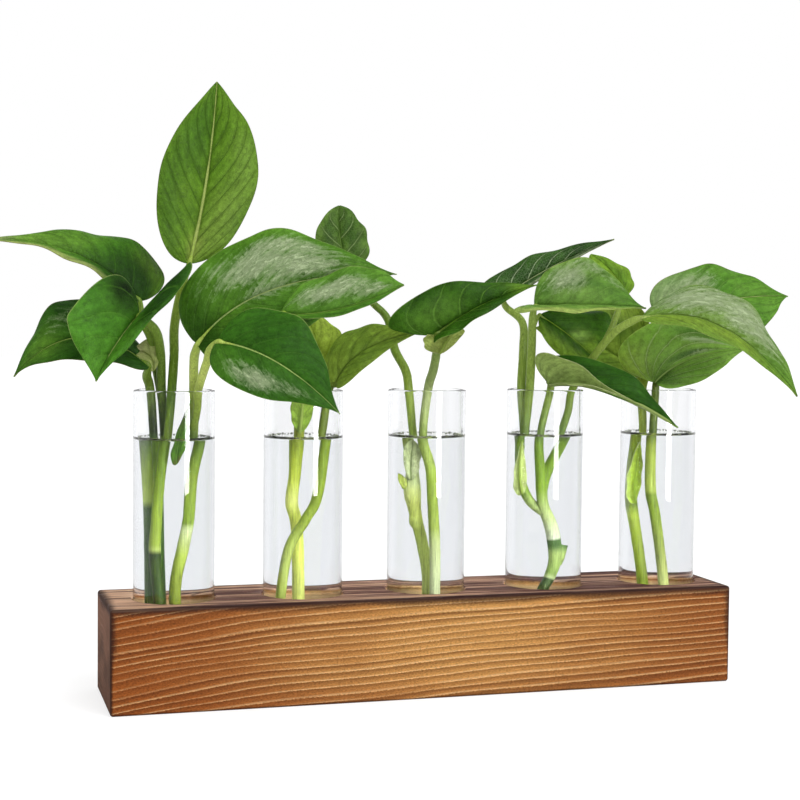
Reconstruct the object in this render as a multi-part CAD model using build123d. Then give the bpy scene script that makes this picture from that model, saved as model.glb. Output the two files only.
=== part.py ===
"""Test tube vase: a wooden block with a row of five flat-bottomed glass tubes, each holding leafy cuttings.

Millimetres, +Z up. The origin is the middle of the block's underside, X runs along the block and -Y is the
front. Each glass tube lifts out of its socket, and each bunch of cuttings lifts out of its tube.
"""
from build123d import *
import math
import os

# Wooden block
block_length = 242
block_depth = 47
block_height = 38
block_edge_radius = 1.2

# Row of glass tubes
tube_count = 5
tube_pitch = 48.75
row_offset = 2.2
tube_diameter = 30
tube_wall = 1.5
tube_floor = 2.5
tube_length = 100
tube_heel_radius = 1.4
tube_lip_radius = 0.7

# Sockets in the block
socket_depth = 23
socket_clearance = 0.3
socket_edge_chamfer = 0.6
cut_overrun = 1

# Leafy cuttings
spray_reach = 100
stem_radius = 1.7
stem_foot_radius = 2.1
stem_glass_gap = 0.4
stem_floor_gap = 0.3
stem_leaf_gap = 0.5
leaf_thickness = 0.9
leaf_arch_share = 0.07
leaf_station_shares = (0.03, 0.1, 0.2, 0.34, 0.5, 0.66, 0.8, 0.92)
rings_per_span = 2

# What follows from the sizes above
tube_radius = tube_diameter / 2
bore_radius = tube_radius - tube_wall
socket_radius = tube_radius + socket_clearance
socket_floor = block_height - socket_depth
rim_height = socket_floor + tube_length
stem_room = bore_radius - stem_foot_radius - stem_glass_gap
stem_drop = tube_length - tube_floor - stem_floor_gap
tube_places = [row_offset + (number - (tube_count - 1) / 2) * tube_pitch for number in range(tube_count)]

# Each leaf, from the middle of its tube's rim and in shares of spray_reach: the foot, middle and tip of its
# midrib, the far and near edge where it is widest, where that is along the midrib, how far each half reaches
# back past the foot, and how the tip draws in.
leaf_shares = {
    "leaf_1_upright": ((0.04, -0.09, 0.46), (0.11, -0.05, 0.78), (0.16, 0.04, 1.14),
                       (-0.07, -0.09, 0.78), (0.29, -0.09, 0.78), 0.46, (0.03, 0.03), 0.95),
    "leaf_1_far_left": ((-0.14, -0.10, 0.32), (-0.38, -0.12, 0.49), (-0.72, -0.20, 0.52),
                        (-0.12, 0.00, 0.52), (-0.31, -0.18, 0.42), 0.30, (0.08, 0.0), 1.25),
    "leaf_1_low_left": ((-0.10, -0.04, 0.09), (-0.35, -0.04, 0.19), (-0.58, -0.08, 0.05),
                        (-0.37, 0.05, 0.33), (-0.34, -0.10, 0.11), 0.45, (0.05, 0.05), 1.2),
    "leaf_1_front_left": ((-0.15, -0.16, 0.27), (-0.24, -0.21, 0.16), (-0.31, -0.26, 0.04),
                          (-0.40, -0.27, 0.28), (-0.01, -0.22, 0.37), 0.38, (0.9, 0.65), 1.2),
    "leaf_1_broad": ((0.06, -0.16, 0.17), (0.32, -0.25, 0.37), (0.77, -0.28, 0.43),
                     (0.24, -0.18, 0.56), (0.34, -0.28, 0.17), 0.35, (0.3, 0.05), 1.25),
    "leaf_1_right": ((0.33, -0.33, 0.28), (0.53, -0.36, 0.30), (0.77, -0.37, 0.39),
                     (0.58, -0.32, 0.45), (0.54, -0.39, 0.28), 0.5, (0.05, 0.0), 1.0),
    "leaf_1_front": ((0.11, -0.30, 0.18), (0.30, -0.42, 0.11), (0.52, -0.44, -0.07),
                     (0.36, -0.38, 0.28), (0.18, -0.40, 0.01), 0.35, (0.12, 0.12), 1.25),
    "leaf_2_back": ((0.08, 0.02, 0.04), (0.06, 0.04, 0.17), (0.0, 0.06, 0.31),
                    (0.0, 0.03, 0.17), (0.155, 0.04, 0.20), 0.4, (0.0, 0.0), 1.2),
    "leaf_2_side": ((0.11, -0.06, 0.02), (0.21, -0.10, 0.15), (0.44, -0.17, 0.23),
                    (0.15, -0.03, 0.21), (0.19, -0.12, 0.07), 0.35, (0.25, 0.05), 1.25),
    "leaf_3_small": ((-0.26, 0.20, 0.45), (-0.30, 0.20, 0.58), (-0.30, 0.22, 0.71),
                     (-0.40, 0.19, 0.56), (-0.19, 0.19, 0.58), 0.45, (0.0, 0.0), 0.65),
    "leaf_3_front": ((-0.03, -0.20, 0.21), (0.12, -0.27, 0.32), (0.33, -0.30, 0.40),
                     (-0.07, -0.24, 0.38), (0.03, -0.30, 0.23), 0.35, (0.6, 0.08), 1.25),
    "leaf_4_long": ((-0.15, 0.09, 0.36), (0.07, 0.09, 0.49), (0.32, 0.08, 0.60),
                    (-0.10, 0.12, 0.49), (-0.02, 0.06, 0.42), 0.33, (0.28, 0.05), 1.1),
    "leaf_4_bowl": ((-0.10, -0.13, 0.32), (0.10, -0.19, 0.33), (0.33, -0.21, 0.32),
                    (0.09, -0.15, 0.51), (0.00, -0.25, 0.30), 0.45, (0.05, 0.4), 1.5),
    "leaf_4_behind": ((0.27, -0.10, 0.34), (0.26, -0.09, 0.43), (0.16, -0.06, 0.53),
                      (0.15, -0.09, 0.41), (0.32, -0.09, 0.45), 0.45, (0.0, 0.0), 0.8),
    "leaf_4_hanging": ((-0.05, -0.05, 0.29), (0.08, -0.05, 0.21), (0.17, -0.06, 0.13),
                       (0.27, 0.00, 0.29), (0.03, -0.05, 0.14), 0.4, (0.0, 0.0), 0.9),
    "leaf_4_front": ((-0.01, -0.06, 0.03), (0.16, -0.22, 0.00), (0.45, -0.26, -0.14),
                     (0.19, -0.20, 0.10), (0.13, -0.22, 0.00), 0.4, (0.4, 0.05), 1.2),
    "leaf_4_droop": ((0.29, -0.26, 0.28), (0.60, -0.32, 0.25), (0.93, -0.32, -0.02),
                     (0.67, -0.21, 0.39), (0.49, -0.36, 0.23), 0.4, (0.05, 0.0), 0.95),
    "leaf_5_left": ((0.0, 0.17, 0.05), (-0.19, 0.19, 0.17), (-0.46, 0.20, 0.24),
                    (-0.05, 0.20, 0.37), (-0.27, 0.17, 0.07), 0.4, (0.05, 0.0), 1.1),
    "leaf_5_back": ((0.03, 0.04, 0.28), (0.32, 0.06, 0.36), (0.60, 0.04, 0.38),
                    (0.23, 0.14, 0.50), (0.35, -0.02, 0.19), 0.35, (0.25, 0.0), 1.2),
    "leaf_5_fan": ((-0.03, -0.03, 0.025), (0.11, -0.06, 0.12), (0.36, -0.05, 0.16),
                   (-0.05, -0.02, 0.26), (0.15, -0.10, 0.04), 0.4, (0.45, 0.0), 1.1),
}

# Each stem's branches. Inside the tube a point's first two shares are of stem_room and its third, which is
# negative, is of stem_drop. Above the rim all three are of spray_reach. The fourth is the thickness there.
stem_shares = {
    "stem_1_left": [
        [(-0.48, 0.34, -1.0, 1.0), (-0.50, 0.36, -0.65, 1.0), (-0.54, 0.36, -0.42, 1.0),
         (-0.66, 0.36, -0.16, 1.0), (-0.083, 0.05, 0.0, 1.0), (-0.10, 0.01, 0.05, 1.0),
         (-0.10, -0.04, 0.09, 0.6)],
    ],
    "stem_1_back": [
        [(-0.18, 0.68, -1.0, 1.0), (-0.27, 0.70, -0.45, 1.0), (-0.25, 0.64, -0.20, 1.0),
         (-0.042, 0.04, 0.0, 1.0), (-0.055, -0.03, 0.13, 1.0), (-0.08, -0.10, 0.21, 1.0),
         (-0.12, -0.14, 0.25, 0.9), (-0.15, -0.16, 0.27, 0.6)],
        [(-0.25, 0.62, -0.18, 1.0), (-0.28, 0.74, -0.09, 1.0), (-0.040, 0.09, 0.0, 1.0),
         (-0.07, 0.02, 0.11, 1.0), (-0.09, -0.03, 0.19, 1.0), (-0.13, -0.08, 0.26, 0.9),
         (-0.14, -0.10, 0.32, 0.6)],
    ],
    "stem_1_middle": [
        [(-0.32, -0.10, -1.0, 1.0), (-0.38, -0.10, -0.83, 1.0), (-0.52, -0.12, -0.62, 1.15),
         (-0.48, -0.12, -0.49, 1.0), (-0.38, -0.08, -0.33, 1.0), (-0.22, -0.04, -0.17, 1.0),
         (-0.008, 0.01, 0.0, 1.0), (0.0, 0.01, 0.13, 1.0), (-0.005, -0.03, 0.23, 1.0),
         (0.01, -0.07, 0.35, 0.9), (0.04, -0.09, 0.46, 0.6)],
    ],
    "stem_1_right": [
        [(0.14, 0.14, -1.0, 1.0), (0.05, 0.14, -0.76, 1.0), (0.24, 0.14, -0.60, 1.05),
         (0.37, 0.12, -0.49, 1.0), (0.45, 0.08, -0.33, 1.0), (0.66, 0.0, -0.17, 1.0),
         (0.07, -0.01, 0.0, 1.0), (0.06, -0.08, 0.11, 1.0), (0.06, -0.13, 0.15, 0.9),
         (0.06, -0.16, 0.17, 0.6)],
        [(0.62, -0.05, -0.15, 1.0), (0.70, -0.40, -0.07, 0.9), (0.076, -0.075, 0.0, 0.9),
         (0.09, -0.19, 0.11, 0.9), (0.09, -0.25, 0.15, 0.85), (0.11, -0.30, 0.18, 0.6)],
        [(0.09, -0.19, 0.11, 0.8), (0.13, -0.24, 0.15, 0.8), (0.19, -0.27, 0.18, 0.8),
         (0.26, -0.30, 0.23, 0.75), (0.33, -0.33, 0.28, 0.6)],
    ],
    "stem_2_left": [
        [(0.0, 0.41, -1.0, 1.0), (0.0, 0.41, -0.80, 1.0), (-0.05, 0.41, -0.54, 1.0),
         (-0.18, 0.41, -0.44, 1.05), (-0.11, 0.40, -0.33, 1.0), (-0.07, 0.36, -0.17, 1.3),
         (0.0, 0.03, 0.0, 1.2), (0.05, 0.02, 0.015, 1.0), (0.08, 0.02, 0.04, 0.6)],
    ],
    "stem_2_right": [
        [(-0.70, -0.18, -1.0, 1.0), (-0.68, -0.18, -0.82, 1.0), (-0.44, -0.18, -0.62, 1.0),
         (0.04, -0.18, -0.50, 1.0), (0.35, -0.18, -0.41, 1.0), (0.58, -0.25, -0.18, 1.0),
         (0.09, -0.035, 0.0, 0.9), (0.11, -0.06, 0.02, 0.6)],
    ],
    "stem_3_left": [
        [(0.27, 0.36, -1.0, 1.2), (0.26, 0.36, -0.82, 1.5), (0.18, 0.36, -0.73, 1.1),
         (0.02, 0.36, -0.61, 1.0), (-0.17, 0.36, -0.49, 1.1), (-0.25, 0.36, -0.40, 1.5),
         (-0.26, 0.36, -0.32, 1.1), (-0.40, 0.36, -0.18, 1.0), (-0.066, 0.03, 0.0, 1.0),
         (-0.07, 0.06, 0.07, 1.0), (-0.10, 0.11, 0.15, 1.0), (-0.12, 0.15, 0.27, 0.9),
         (-0.18, 0.18, 0.34, 0.8), (-0.26, 0.20, 0.45, 0.6)],
    ],
    "stem_3_right": [
        [(0.20, -0.18, -1.0, 1.0), (0.22, -0.18, -0.72, 1.0), (0.19, -0.18, -0.58, 1.05),
         (0.13, -0.18, -0.45, 1.0), (0.06, -0.18, -0.31, 1.0), (-0.19, -0.19, -0.18, 1.0),
         (-0.006, -0.03, 0.0, 1.0), (0.0, -0.08, 0.08, 1.0), (-0.01, -0.15, 0.16, 0.9),
         (-0.03, -0.20, 0.21, 0.6)],
    ],
    "stem_4": [
        [(-0.14, -0.10, -1.0, 1.1), (-0.12, -0.14, -0.84, 1.1), (0.14, -0.14, -0.76, 1.1),
         (0.29, -0.14, -0.69, 1.25), (0.25, -0.14, -0.61, 1.35), (0.13, -0.14, -0.54, 1.3),
         (-0.08, -0.12, -0.46, 1.1), (-0.18, -0.15, -0.33, 1.0), (-0.26, -0.25, -0.18, 0.9),
         (0.01, -0.03, 0.0, 0.85), (-0.01, -0.06, 0.03, 0.6)],
        [(0.0, -0.10, -0.50, 1.1), (-0.34, 0.08, -0.46, 1.0), (-0.62, 0.10, -0.39, 1.0),
         (-0.72, 0.10, -0.30, 1.0), (-0.72, 0.08, -0.18, 1.0), (-0.07, -0.01, 0.0, 1.0),
         (-0.08, -0.05, 0.15, 1.0), (-0.10, -0.11, 0.27, 0.9), (-0.10, -0.13, 0.32, 0.6)],
        [(-0.72, 0.09, -0.24, 1.0), (-0.76, 0.20, -0.12, 1.0), (-0.09, 0.03, 0.0, 1.0),
         (-0.08, 0.04, 0.15, 1.0), (-0.07, 0.08, 0.26, 0.9), (-0.12, 0.13, 0.32, 0.8),
         (-0.15, 0.09, 0.36, 0.45)],
        [(-0.09, -0.08, 0.21, 0.8), (-0.08, -0.065, 0.25, 0.75), (-0.05, -0.05, 0.29, 0.4)],
        [(-0.08, -0.10, -0.46, 1.0), (0.02, 0.18, -0.41, 1.0), (0.16, 0.26, -0.34, 1.0),
         (0.40, 0.12, -0.25, 1.0), (0.58, -0.08, -0.18, 0.95), (0.80, -0.22, -0.09, 0.95),
         (0.102, -0.032, 0.0, 0.9), (0.14, -0.11, 0.11, 0.9), (0.20, -0.19, 0.22, 0.9),
         (0.26, -0.24, 0.27, 0.85), (0.29, -0.26, 0.28, 0.6)],
        [(0.17, -0.15, 0.16, 0.8), (0.23, -0.12, 0.25, 0.75), (0.27, -0.10, 0.34, 0.6)],
    ],
    "stem_5_left": [
        [(-0.11, 0.45, -1.0, 1.0), (-0.14, 0.45, -0.81, 1.0), (-0.35, 0.45, -0.61, 1.0),
         (-0.53, 0.45, -0.47, 1.15), (-0.53, 0.45, -0.34, 1.0), (-0.40, 0.45, -0.18, 1.0),
         (-0.045, 0.055, 0.0, 1.0), (0.01, 0.09, 0.11, 1.0), (0.04, 0.08, 0.22, 0.9),
         (0.03, 0.04, 0.28, 0.6)],
        [(-0.40, 0.45, -0.18, 0.9), (-0.04, 0.09, 0.0, 0.9), (-0.02, 0.14, 0.035, 0.8),
         (0.0, 0.17, 0.05, 0.5)],
    ],
    "stem_5_right": [
        [(0.23, -0.09, -1.0, 1.0), (0.20, -0.09, -0.81, 1.0), (0.05, -0.09, -0.64, 1.0),
         (-0.10, -0.09, -0.51, 1.05), (-0.25, -0.09, -0.40, 1.1), (-0.24, -0.09, -0.18, 1.0),
         (-0.02, -0.015, 0.0, 0.9), (-0.03, -0.03, 0.02, 0.6)],
    ],
}


def own_tube(name):
    """The number of the tube that a stem or leaf stands in, as its name gives it."""
    return int(name.split("_")[1])


def rim_middle(tube_number):
    """The middle of a tube's rim, counting the tubes from the left."""
    return Vector(tube_places[tube_number - 1], 0, rim_height)


def spray_place(tube_number, shares):
    """A place above the block, from its shares of spray_reach."""
    return rim_middle(tube_number) + Vector(*shares) * spray_reach


def stem_place(tube_number, shares):
    """A place on a stem, inside its tube where the third share is negative."""
    if shares[2] < 0:
        inside = Vector(shares[0] * stem_room, shares[1] * stem_room, shares[2] * stem_drop)
        return rim_middle(tube_number) + inside
    return spray_place(tube_number, shares[:3])


def wooden_block():
    """The block, its edges eased and a row of blind sockets bored in its top."""
    block = Box(block_length, block_depth, block_height, align=(Align.CENTER, Align.CENTER, Align.MIN))
    block = fillet(block.edges(), block_edge_radius)
    bore = Cylinder(socket_radius, socket_depth + cut_overrun, align=(Align.CENTER, Align.CENTER, Align.MIN))
    bore += Pos(0, 0, socket_depth - socket_edge_chamfer) * Cone(
        socket_radius, socket_radius + socket_edge_chamfer + cut_overrun, socket_edge_chamfer + cut_overrun,
        align=(Align.CENTER, Align.CENTER, Align.MIN))
    for place in tube_places:
        block -= Pos(place, 0, socket_floor) * bore
    return block


def glass_tube(tube_number):
    """A straight tube with a flat floor, a rounded heel and a rounded lip."""
    glass = Cylinder(tube_radius, tube_length, align=(Align.CENTER, Align.CENTER, Align.MIN))
    glass -= Pos(0, 0, tube_floor) * Cylinder(
        bore_radius, tube_length, align=(Align.CENTER, Align.CENTER, Align.MIN))
    heel = glass.edges().group_by(Axis.Z)[0]
    glass = fillet(heel, tube_heel_radius)
    lip = glass.edges().group_by(Axis.Z)[-1]
    glass = fillet(lip, tube_lip_radius)
    return Pos(tube_places[tube_number - 1], 0, socket_floor) * glass


def curve_through(before, start, end, after, share):
    """A smooth curve from start to end that heads on from the point before to the one after."""
    first = (end - before) * 0.5
    last = (after - start) * 0.5
    turn = (end - start) * 3 - first * 2 - last
    ease = (start - end) * 2 + first + last
    return start + first * share + turn * share ** 2 + ease * share ** 3


def stem_rings(tube_number, branch):
    """The middle and radius of each ring along one branch of a stem."""
    places = [stem_place(tube_number, shares) for shares in branch]
    radii = []
    for shares in branch:
        plain_radius = stem_foot_radius if shares[2] < 0 else stem_radius
        radii.append(plain_radius * shares[3])
    places = [places[0] * 2 - places[1]] + places + [places[-1] * 2 - places[-2]]
    radii = [radii[0]] + radii + [radii[-1]]
    rings = []
    for span in range(1, len(places) - 2):
        for step in range(rings_per_span):
            share = step / rings_per_span
            middle = curve_through(*places[span - 1:span + 3], share)
            radius = radii[span] + (radii[span + 1] - radii[span]) * share
            rings.append((middle, radius))
    rings.append((places[-2], radii[-2]))
    return rings


def stem_branch(tube_number, branch):
    """One branch as a loft through round rings, short of the leaf at its end by stem_leaf_gap."""
    rings = stem_rings(tube_number, branch)
    end, end_radius = rings[-1]
    last_run = end - rings[-2][0]
    rings[-1] = (end - last_run.normalized() * stem_leaf_gap, end_radius)
    sections = []
    for number, (middle, radius) in enumerate(rings):
        ahead = rings[min(number + 1, len(rings) - 1)][0]
        behind = rings[max(number - 1, 0)][0]
        heading = ahead - behind
        if number == 0 and branch[0][2] <= -1:
            heading = Vector(0, 0, 1)
        side = Vector(0, 1, 0).cross(heading)
        sections.append(Plane(origin=middle, x_dir=side, z_dir=heading) * Circle(radius))
    return loft(sections, ruled=True)


def stem(name):
    """A stem with all its branches as one solid."""
    trunk, *side_branches = [stem_branch(own_tube(name), branch) for branch in stem_shares[name]]
    for side_branch in side_branches:
        trunk += side_branch
    return trunk


def midrib_place(foot, middle, tip, share):
    """A place on a leaf's midrib, a curve through its foot, middle and tip."""
    return foot * ((1 - share) * (1 - 2 * share)) + middle * (4 * share * (1 - share)) + tip * (
        share * (2 * share - 1))


def outline_width(share, widest_share, tip_draw):
    """The leaf's width along the midrib, as a share of its greatest: round at the foot, pointed at the tip."""
    if share < widest_share:
        return math.sqrt(1 - (1 - share / widest_share) ** 2)
    return math.cos(math.pi / 2 * (share - widest_share) / (1 - widest_share)) ** tip_draw


def leaf_section(rib, edges, face_up):
    """The places round one section of a blade: far edge, over the top, near edge and back underneath."""
    thick = face_up * leaf_thickness
    halves = [(rib + edge) * 0.5 + face_up * ((edge - rib).length * leaf_arch_share) for edge in edges]
    upper = [halves[0], rib + thick * 0.5, halves[1]]
    lower = [halves[1] - thick, rib - thick * 0.5, halves[0] - thick]
    return [edges[0], *upper, edges[1], *lower]


def leaf_sections(name):
    """The foot and tip of a leaf, and its sections at each station between them."""
    *corner_shares, widest_share, lobe_shares, tip_draw = leaf_shares[name]
    foot, middle, tip, far, near = [spray_place(own_tube(name), shares) for shares in corner_shares]
    widest_place = midrib_place(foot, middle, tip, widest_share)
    up_sign = -1 if (tip - foot).cross(far - near).Z < 0 else 1
    sections = []
    for share in leaf_station_shares:
        rib = midrib_place(foot, middle, tip, share)
        width = outline_width(share, widest_share, tip_draw)
        edges = []
        for corner, lobe_share in zip((far, near), lobe_shares):
            back = (tip - foot) * (lobe_share * width * max(0, 1 - share / widest_share))
            edges.append(rib + (corner - widest_place) * width - back)
        ahead = (middle - foot) * (3 - 4 * share) + (tip - middle) * (4 * share - 1)
        face_up = ahead.cross(edges[0] - edges[1]).normalized() * up_sign
        sections.append(leaf_section(rib, edges, face_up))
    return foot, tip, sections


def leaf(name):
    """A thin leaf blade in small flat facets, from its foot to its tip, each half arched a little."""
    foot, tip, sections = leaf_sections(name)
    rows = [[foot] * len(sections[0]), *sections, [tip] * len(sections[0])]
    facets = []
    for row, next_row in zip(rows, rows[1:]):
        for place, next_place, beyond, next_beyond in zip(
                row, row[1:] + row[:1], next_row, next_row[1:] + next_row[:1]):
            if next_row is not rows[-1]:
                facets.append(Face(Wire.make_polygon([place, beyond, next_beyond])))
            if row is not rows[0]:
                facets.append(Face(Wire.make_polygon([place, next_beyond, next_place])))
    return Solid(Shell(facets))


os.makedirs("parts", exist_ok=True)
export_step(wooden_block(), "parts/wood_block.step")
for tube_number in range(1, tube_count + 1):
    export_step(glass_tube(tube_number), f"parts/glass_tube_{tube_number}.step")
for name in stem_shares:
    export_step(stem(name), f"parts/{name}.step")
for name in leaf_shares:
    export_step(leaf(name), f"parts/{name}.step")
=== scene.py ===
"""Test tube vase: the looks of a wooden block and a row of glass tubes with water and leafy cuttings.

Metres, +Z up, in the solids' own frame: the origin is the middle of the block's underside, X runs along the
block and -Y is the front. Stems and leaves stand for the solids of the same names, and repeat their places.
"""
import math
from dataclasses import dataclass

import bpy
import numpy as np
from mathutils import Matrix, Vector, noise


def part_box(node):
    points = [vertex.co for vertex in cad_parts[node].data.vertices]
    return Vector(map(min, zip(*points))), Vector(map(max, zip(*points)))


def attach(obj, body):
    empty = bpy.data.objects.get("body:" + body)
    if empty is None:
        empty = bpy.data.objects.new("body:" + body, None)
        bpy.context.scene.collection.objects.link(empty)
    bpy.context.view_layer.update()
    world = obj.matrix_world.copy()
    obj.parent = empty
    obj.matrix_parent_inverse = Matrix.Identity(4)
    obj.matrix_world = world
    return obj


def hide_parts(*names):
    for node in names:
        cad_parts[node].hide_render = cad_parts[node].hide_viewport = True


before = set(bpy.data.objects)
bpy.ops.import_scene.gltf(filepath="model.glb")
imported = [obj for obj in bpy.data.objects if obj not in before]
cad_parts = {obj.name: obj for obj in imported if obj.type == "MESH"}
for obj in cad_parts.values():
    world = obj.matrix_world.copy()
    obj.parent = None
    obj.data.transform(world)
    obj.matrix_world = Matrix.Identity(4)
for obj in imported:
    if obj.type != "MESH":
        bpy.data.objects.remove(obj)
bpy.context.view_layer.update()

bl_info = {
    "name": "Test Tube Vase",
    "version": (1, 0, 0),
    "blender": (4, 5, 0),
    "location": "3D View > Sidebar > Vase",
    "description": "Finishes a wooden block vase and fills its glass tubes with water and leafy cuttings",
    "category": "Object",
}

MM = 0.001

# The cuttings' sizes, as the solids have them
SPRAY_REACH = 0.1
STEM_ROOM = 0.011
STEM_DROP = 0.0972
STEM_RADIUS = 1.7 * MM
LEAF_ARCH_SHARE = 0.07

# Under the rim the stems are slimmer than the solids, because the water magnifies them
STEM_FOOT_RADIUS = 1.6 * MM

# How far along its grip of the midrib a leaf stalk has each radius in millimetres, and how far under it lies
STALK_TAPER = ((0.3, 0.8), (0.65, 0.62), (1.0, 0.3))
STALK_DEPTH = 0.55 * MM

# A blade of this length has all the side veins, whose count starts from this number at its foot
LONG_BLADE = 0.08
VEIN_START = 20

# Where a blade's half is narrower than this, its relief and veins are weaker
SLIM_REACH = 8 * MM

# The tubes' sizes, from the solids
TUBES = range(1, 6)
TUBE_WALL = 1.5 * MM
TUBE_FLOOR = 2.5 * MM

# How far from the glass the rings of the water's climb lie, in millimetres, and how fast the climb fades
CLIMB_INSETS = (0.1, 0.2, 0.35, 0.6, 0.9, 1.3, 1.8, 2.4, 3.2, 4.5, 6.0)
CLIMB_REACH = 0.8

# The camera's place, its turn, tilt and roll in degrees, and its lens and sensor in millimetres
CAMERA_PLACE = (-0.1792, -0.5855, 0.1391)
CAMERA_ANGLES = (16.238, -2.656, 0.541)
CAMERA_LENS = 71.59
SENSOR_WIDTH = 36

# Where the main lamp shines from and its spread in degrees, and the strip lamp's place, width and height
SUN_PLACE = (0.45, -0.9, 1.1)
SUN_SPREAD = 35
STRIP_PLACE = (0.17, -0.49, 0.25)
STRIP_SIZE = (0.13, 0.46)

# Plain white, and what clear things let through to the shadows
WHITE = (1, 1, 1)
OPEN_WAY_COLOUR = (0.95, 0.97, 0.97)

# Each leaf, from the middle of its tube's rim and in shares of spray_reach: the foot, middle and tip of its
# midrib, the far and near edge where it is widest, where that is along the midrib, how far each half reaches
# back past the foot, and how the tip draws in.
leaf_shares = {
    "leaf_1_upright": ((0.04, -0.09, 0.46), (0.11, -0.05, 0.78), (0.16, 0.04, 1.14),
                       (-0.07, -0.09, 0.78), (0.29, -0.09, 0.78), 0.46, (0.03, 0.03), 0.95),
    "leaf_1_far_left": ((-0.14, -0.10, 0.32), (-0.38, -0.12, 0.49), (-0.72, -0.20, 0.52),
                        (-0.12, 0.00, 0.52), (-0.31, -0.18, 0.42), 0.30, (0.08, 0.0), 1.25),
    "leaf_1_low_left": ((-0.10, -0.04, 0.09), (-0.35, -0.04, 0.19), (-0.58, -0.08, 0.05),
                        (-0.37, 0.05, 0.33), (-0.34, -0.10, 0.11), 0.45, (0.05, 0.05), 1.2),
    "leaf_1_front_left": ((-0.15, -0.16, 0.27), (-0.24, -0.21, 0.16), (-0.31, -0.26, 0.04),
                          (-0.40, -0.27, 0.28), (-0.01, -0.22, 0.37), 0.38, (0.9, 0.65), 1.2),
    "leaf_1_broad": ((0.06, -0.16, 0.17), (0.32, -0.25, 0.37), (0.77, -0.28, 0.43),
                     (0.24, -0.18, 0.56), (0.34, -0.28, 0.17), 0.35, (0.3, 0.05), 1.25),
    "leaf_1_right": ((0.33, -0.33, 0.28), (0.53, -0.36, 0.30), (0.77, -0.37, 0.39),
                     (0.58, -0.32, 0.45), (0.54, -0.39, 0.28), 0.5, (0.05, 0.0), 1.0),
    "leaf_1_front": ((0.11, -0.30, 0.18), (0.30, -0.42, 0.11), (0.52, -0.44, -0.07),
                     (0.36, -0.38, 0.28), (0.18, -0.40, 0.01), 0.35, (0.12, 0.12), 1.25),
    "leaf_2_back": ((0.08, 0.02, 0.04), (0.06, 0.04, 0.17), (0.0, 0.06, 0.31),
                    (0.0, 0.03, 0.17), (0.155, 0.04, 0.20), 0.4, (0.0, 0.0), 1.2),
    "leaf_2_side": ((0.11, -0.06, 0.02), (0.21, -0.10, 0.15), (0.44, -0.17, 0.23),
                    (0.15, -0.03, 0.21), (0.19, -0.12, 0.07), 0.35, (0.25, 0.05), 1.25),
    "leaf_3_small": ((-0.26, 0.20, 0.45), (-0.30, 0.20, 0.58), (-0.30, 0.22, 0.71),
                     (-0.40, 0.19, 0.56), (-0.19, 0.19, 0.58), 0.45, (0.0, 0.0), 0.65),
    "leaf_3_front": ((-0.03, -0.20, 0.21), (0.12, -0.27, 0.32), (0.33, -0.30, 0.40),
                     (-0.07, -0.24, 0.38), (0.03, -0.30, 0.23), 0.35, (0.6, 0.08), 1.25),
    "leaf_4_long": ((-0.15, 0.09, 0.36), (0.07, 0.09, 0.49), (0.32, 0.08, 0.60),
                    (-0.10, 0.12, 0.49), (-0.02, 0.06, 0.42), 0.33, (0.28, 0.05), 1.1),
    "leaf_4_bowl": ((-0.10, -0.13, 0.32), (0.10, -0.19, 0.33), (0.33, -0.21, 0.32),
                    (0.09, -0.15, 0.51), (0.00, -0.25, 0.30), 0.45, (0.05, 0.4), 1.5),
    "leaf_4_behind": ((0.27, -0.10, 0.34), (0.26, -0.09, 0.43), (0.16, -0.06, 0.53),
                      (0.15, -0.09, 0.41), (0.32, -0.09, 0.45), 0.45, (0.0, 0.0), 0.8),
    "leaf_4_hanging": ((-0.05, -0.05, 0.29), (0.08, -0.05, 0.21), (0.17, -0.06, 0.13),
                       (0.27, 0.00, 0.29), (0.03, -0.05, 0.14), 0.4, (0.0, 0.0), 0.9),
    "leaf_4_front": ((-0.01, -0.06, 0.03), (0.16, -0.22, 0.00), (0.45, -0.26, -0.14),
                     (0.19, -0.20, 0.10), (0.13, -0.22, 0.00), 0.4, (0.4, 0.05), 1.2),
    "leaf_4_droop": ((0.29, -0.26, 0.28), (0.60, -0.32, 0.25), (0.93, -0.32, -0.02),
                     (0.67, -0.21, 0.39), (0.49, -0.36, 0.23), 0.4, (0.05, 0.0), 0.95),
    "leaf_5_left": ((0.0, 0.17, 0.05), (-0.19, 0.19, 0.17), (-0.46, 0.20, 0.24),
                    (-0.05, 0.20, 0.37), (-0.27, 0.17, 0.07), 0.4, (0.05, 0.0), 1.1),
    "leaf_5_back": ((0.03, 0.04, 0.28), (0.32, 0.06, 0.36), (0.60, 0.04, 0.38),
                    (0.23, 0.14, 0.50), (0.35, -0.02, 0.19), 0.35, (0.25, 0.0), 1.2),
    "leaf_5_fan": ((-0.03, -0.03, 0.025), (0.11, -0.06, 0.12), (0.36, -0.05, 0.16),
                   (-0.05, -0.02, 0.26), (0.15, -0.10, 0.04), 0.4, (0.45, 0.0), 1.1),
}

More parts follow.
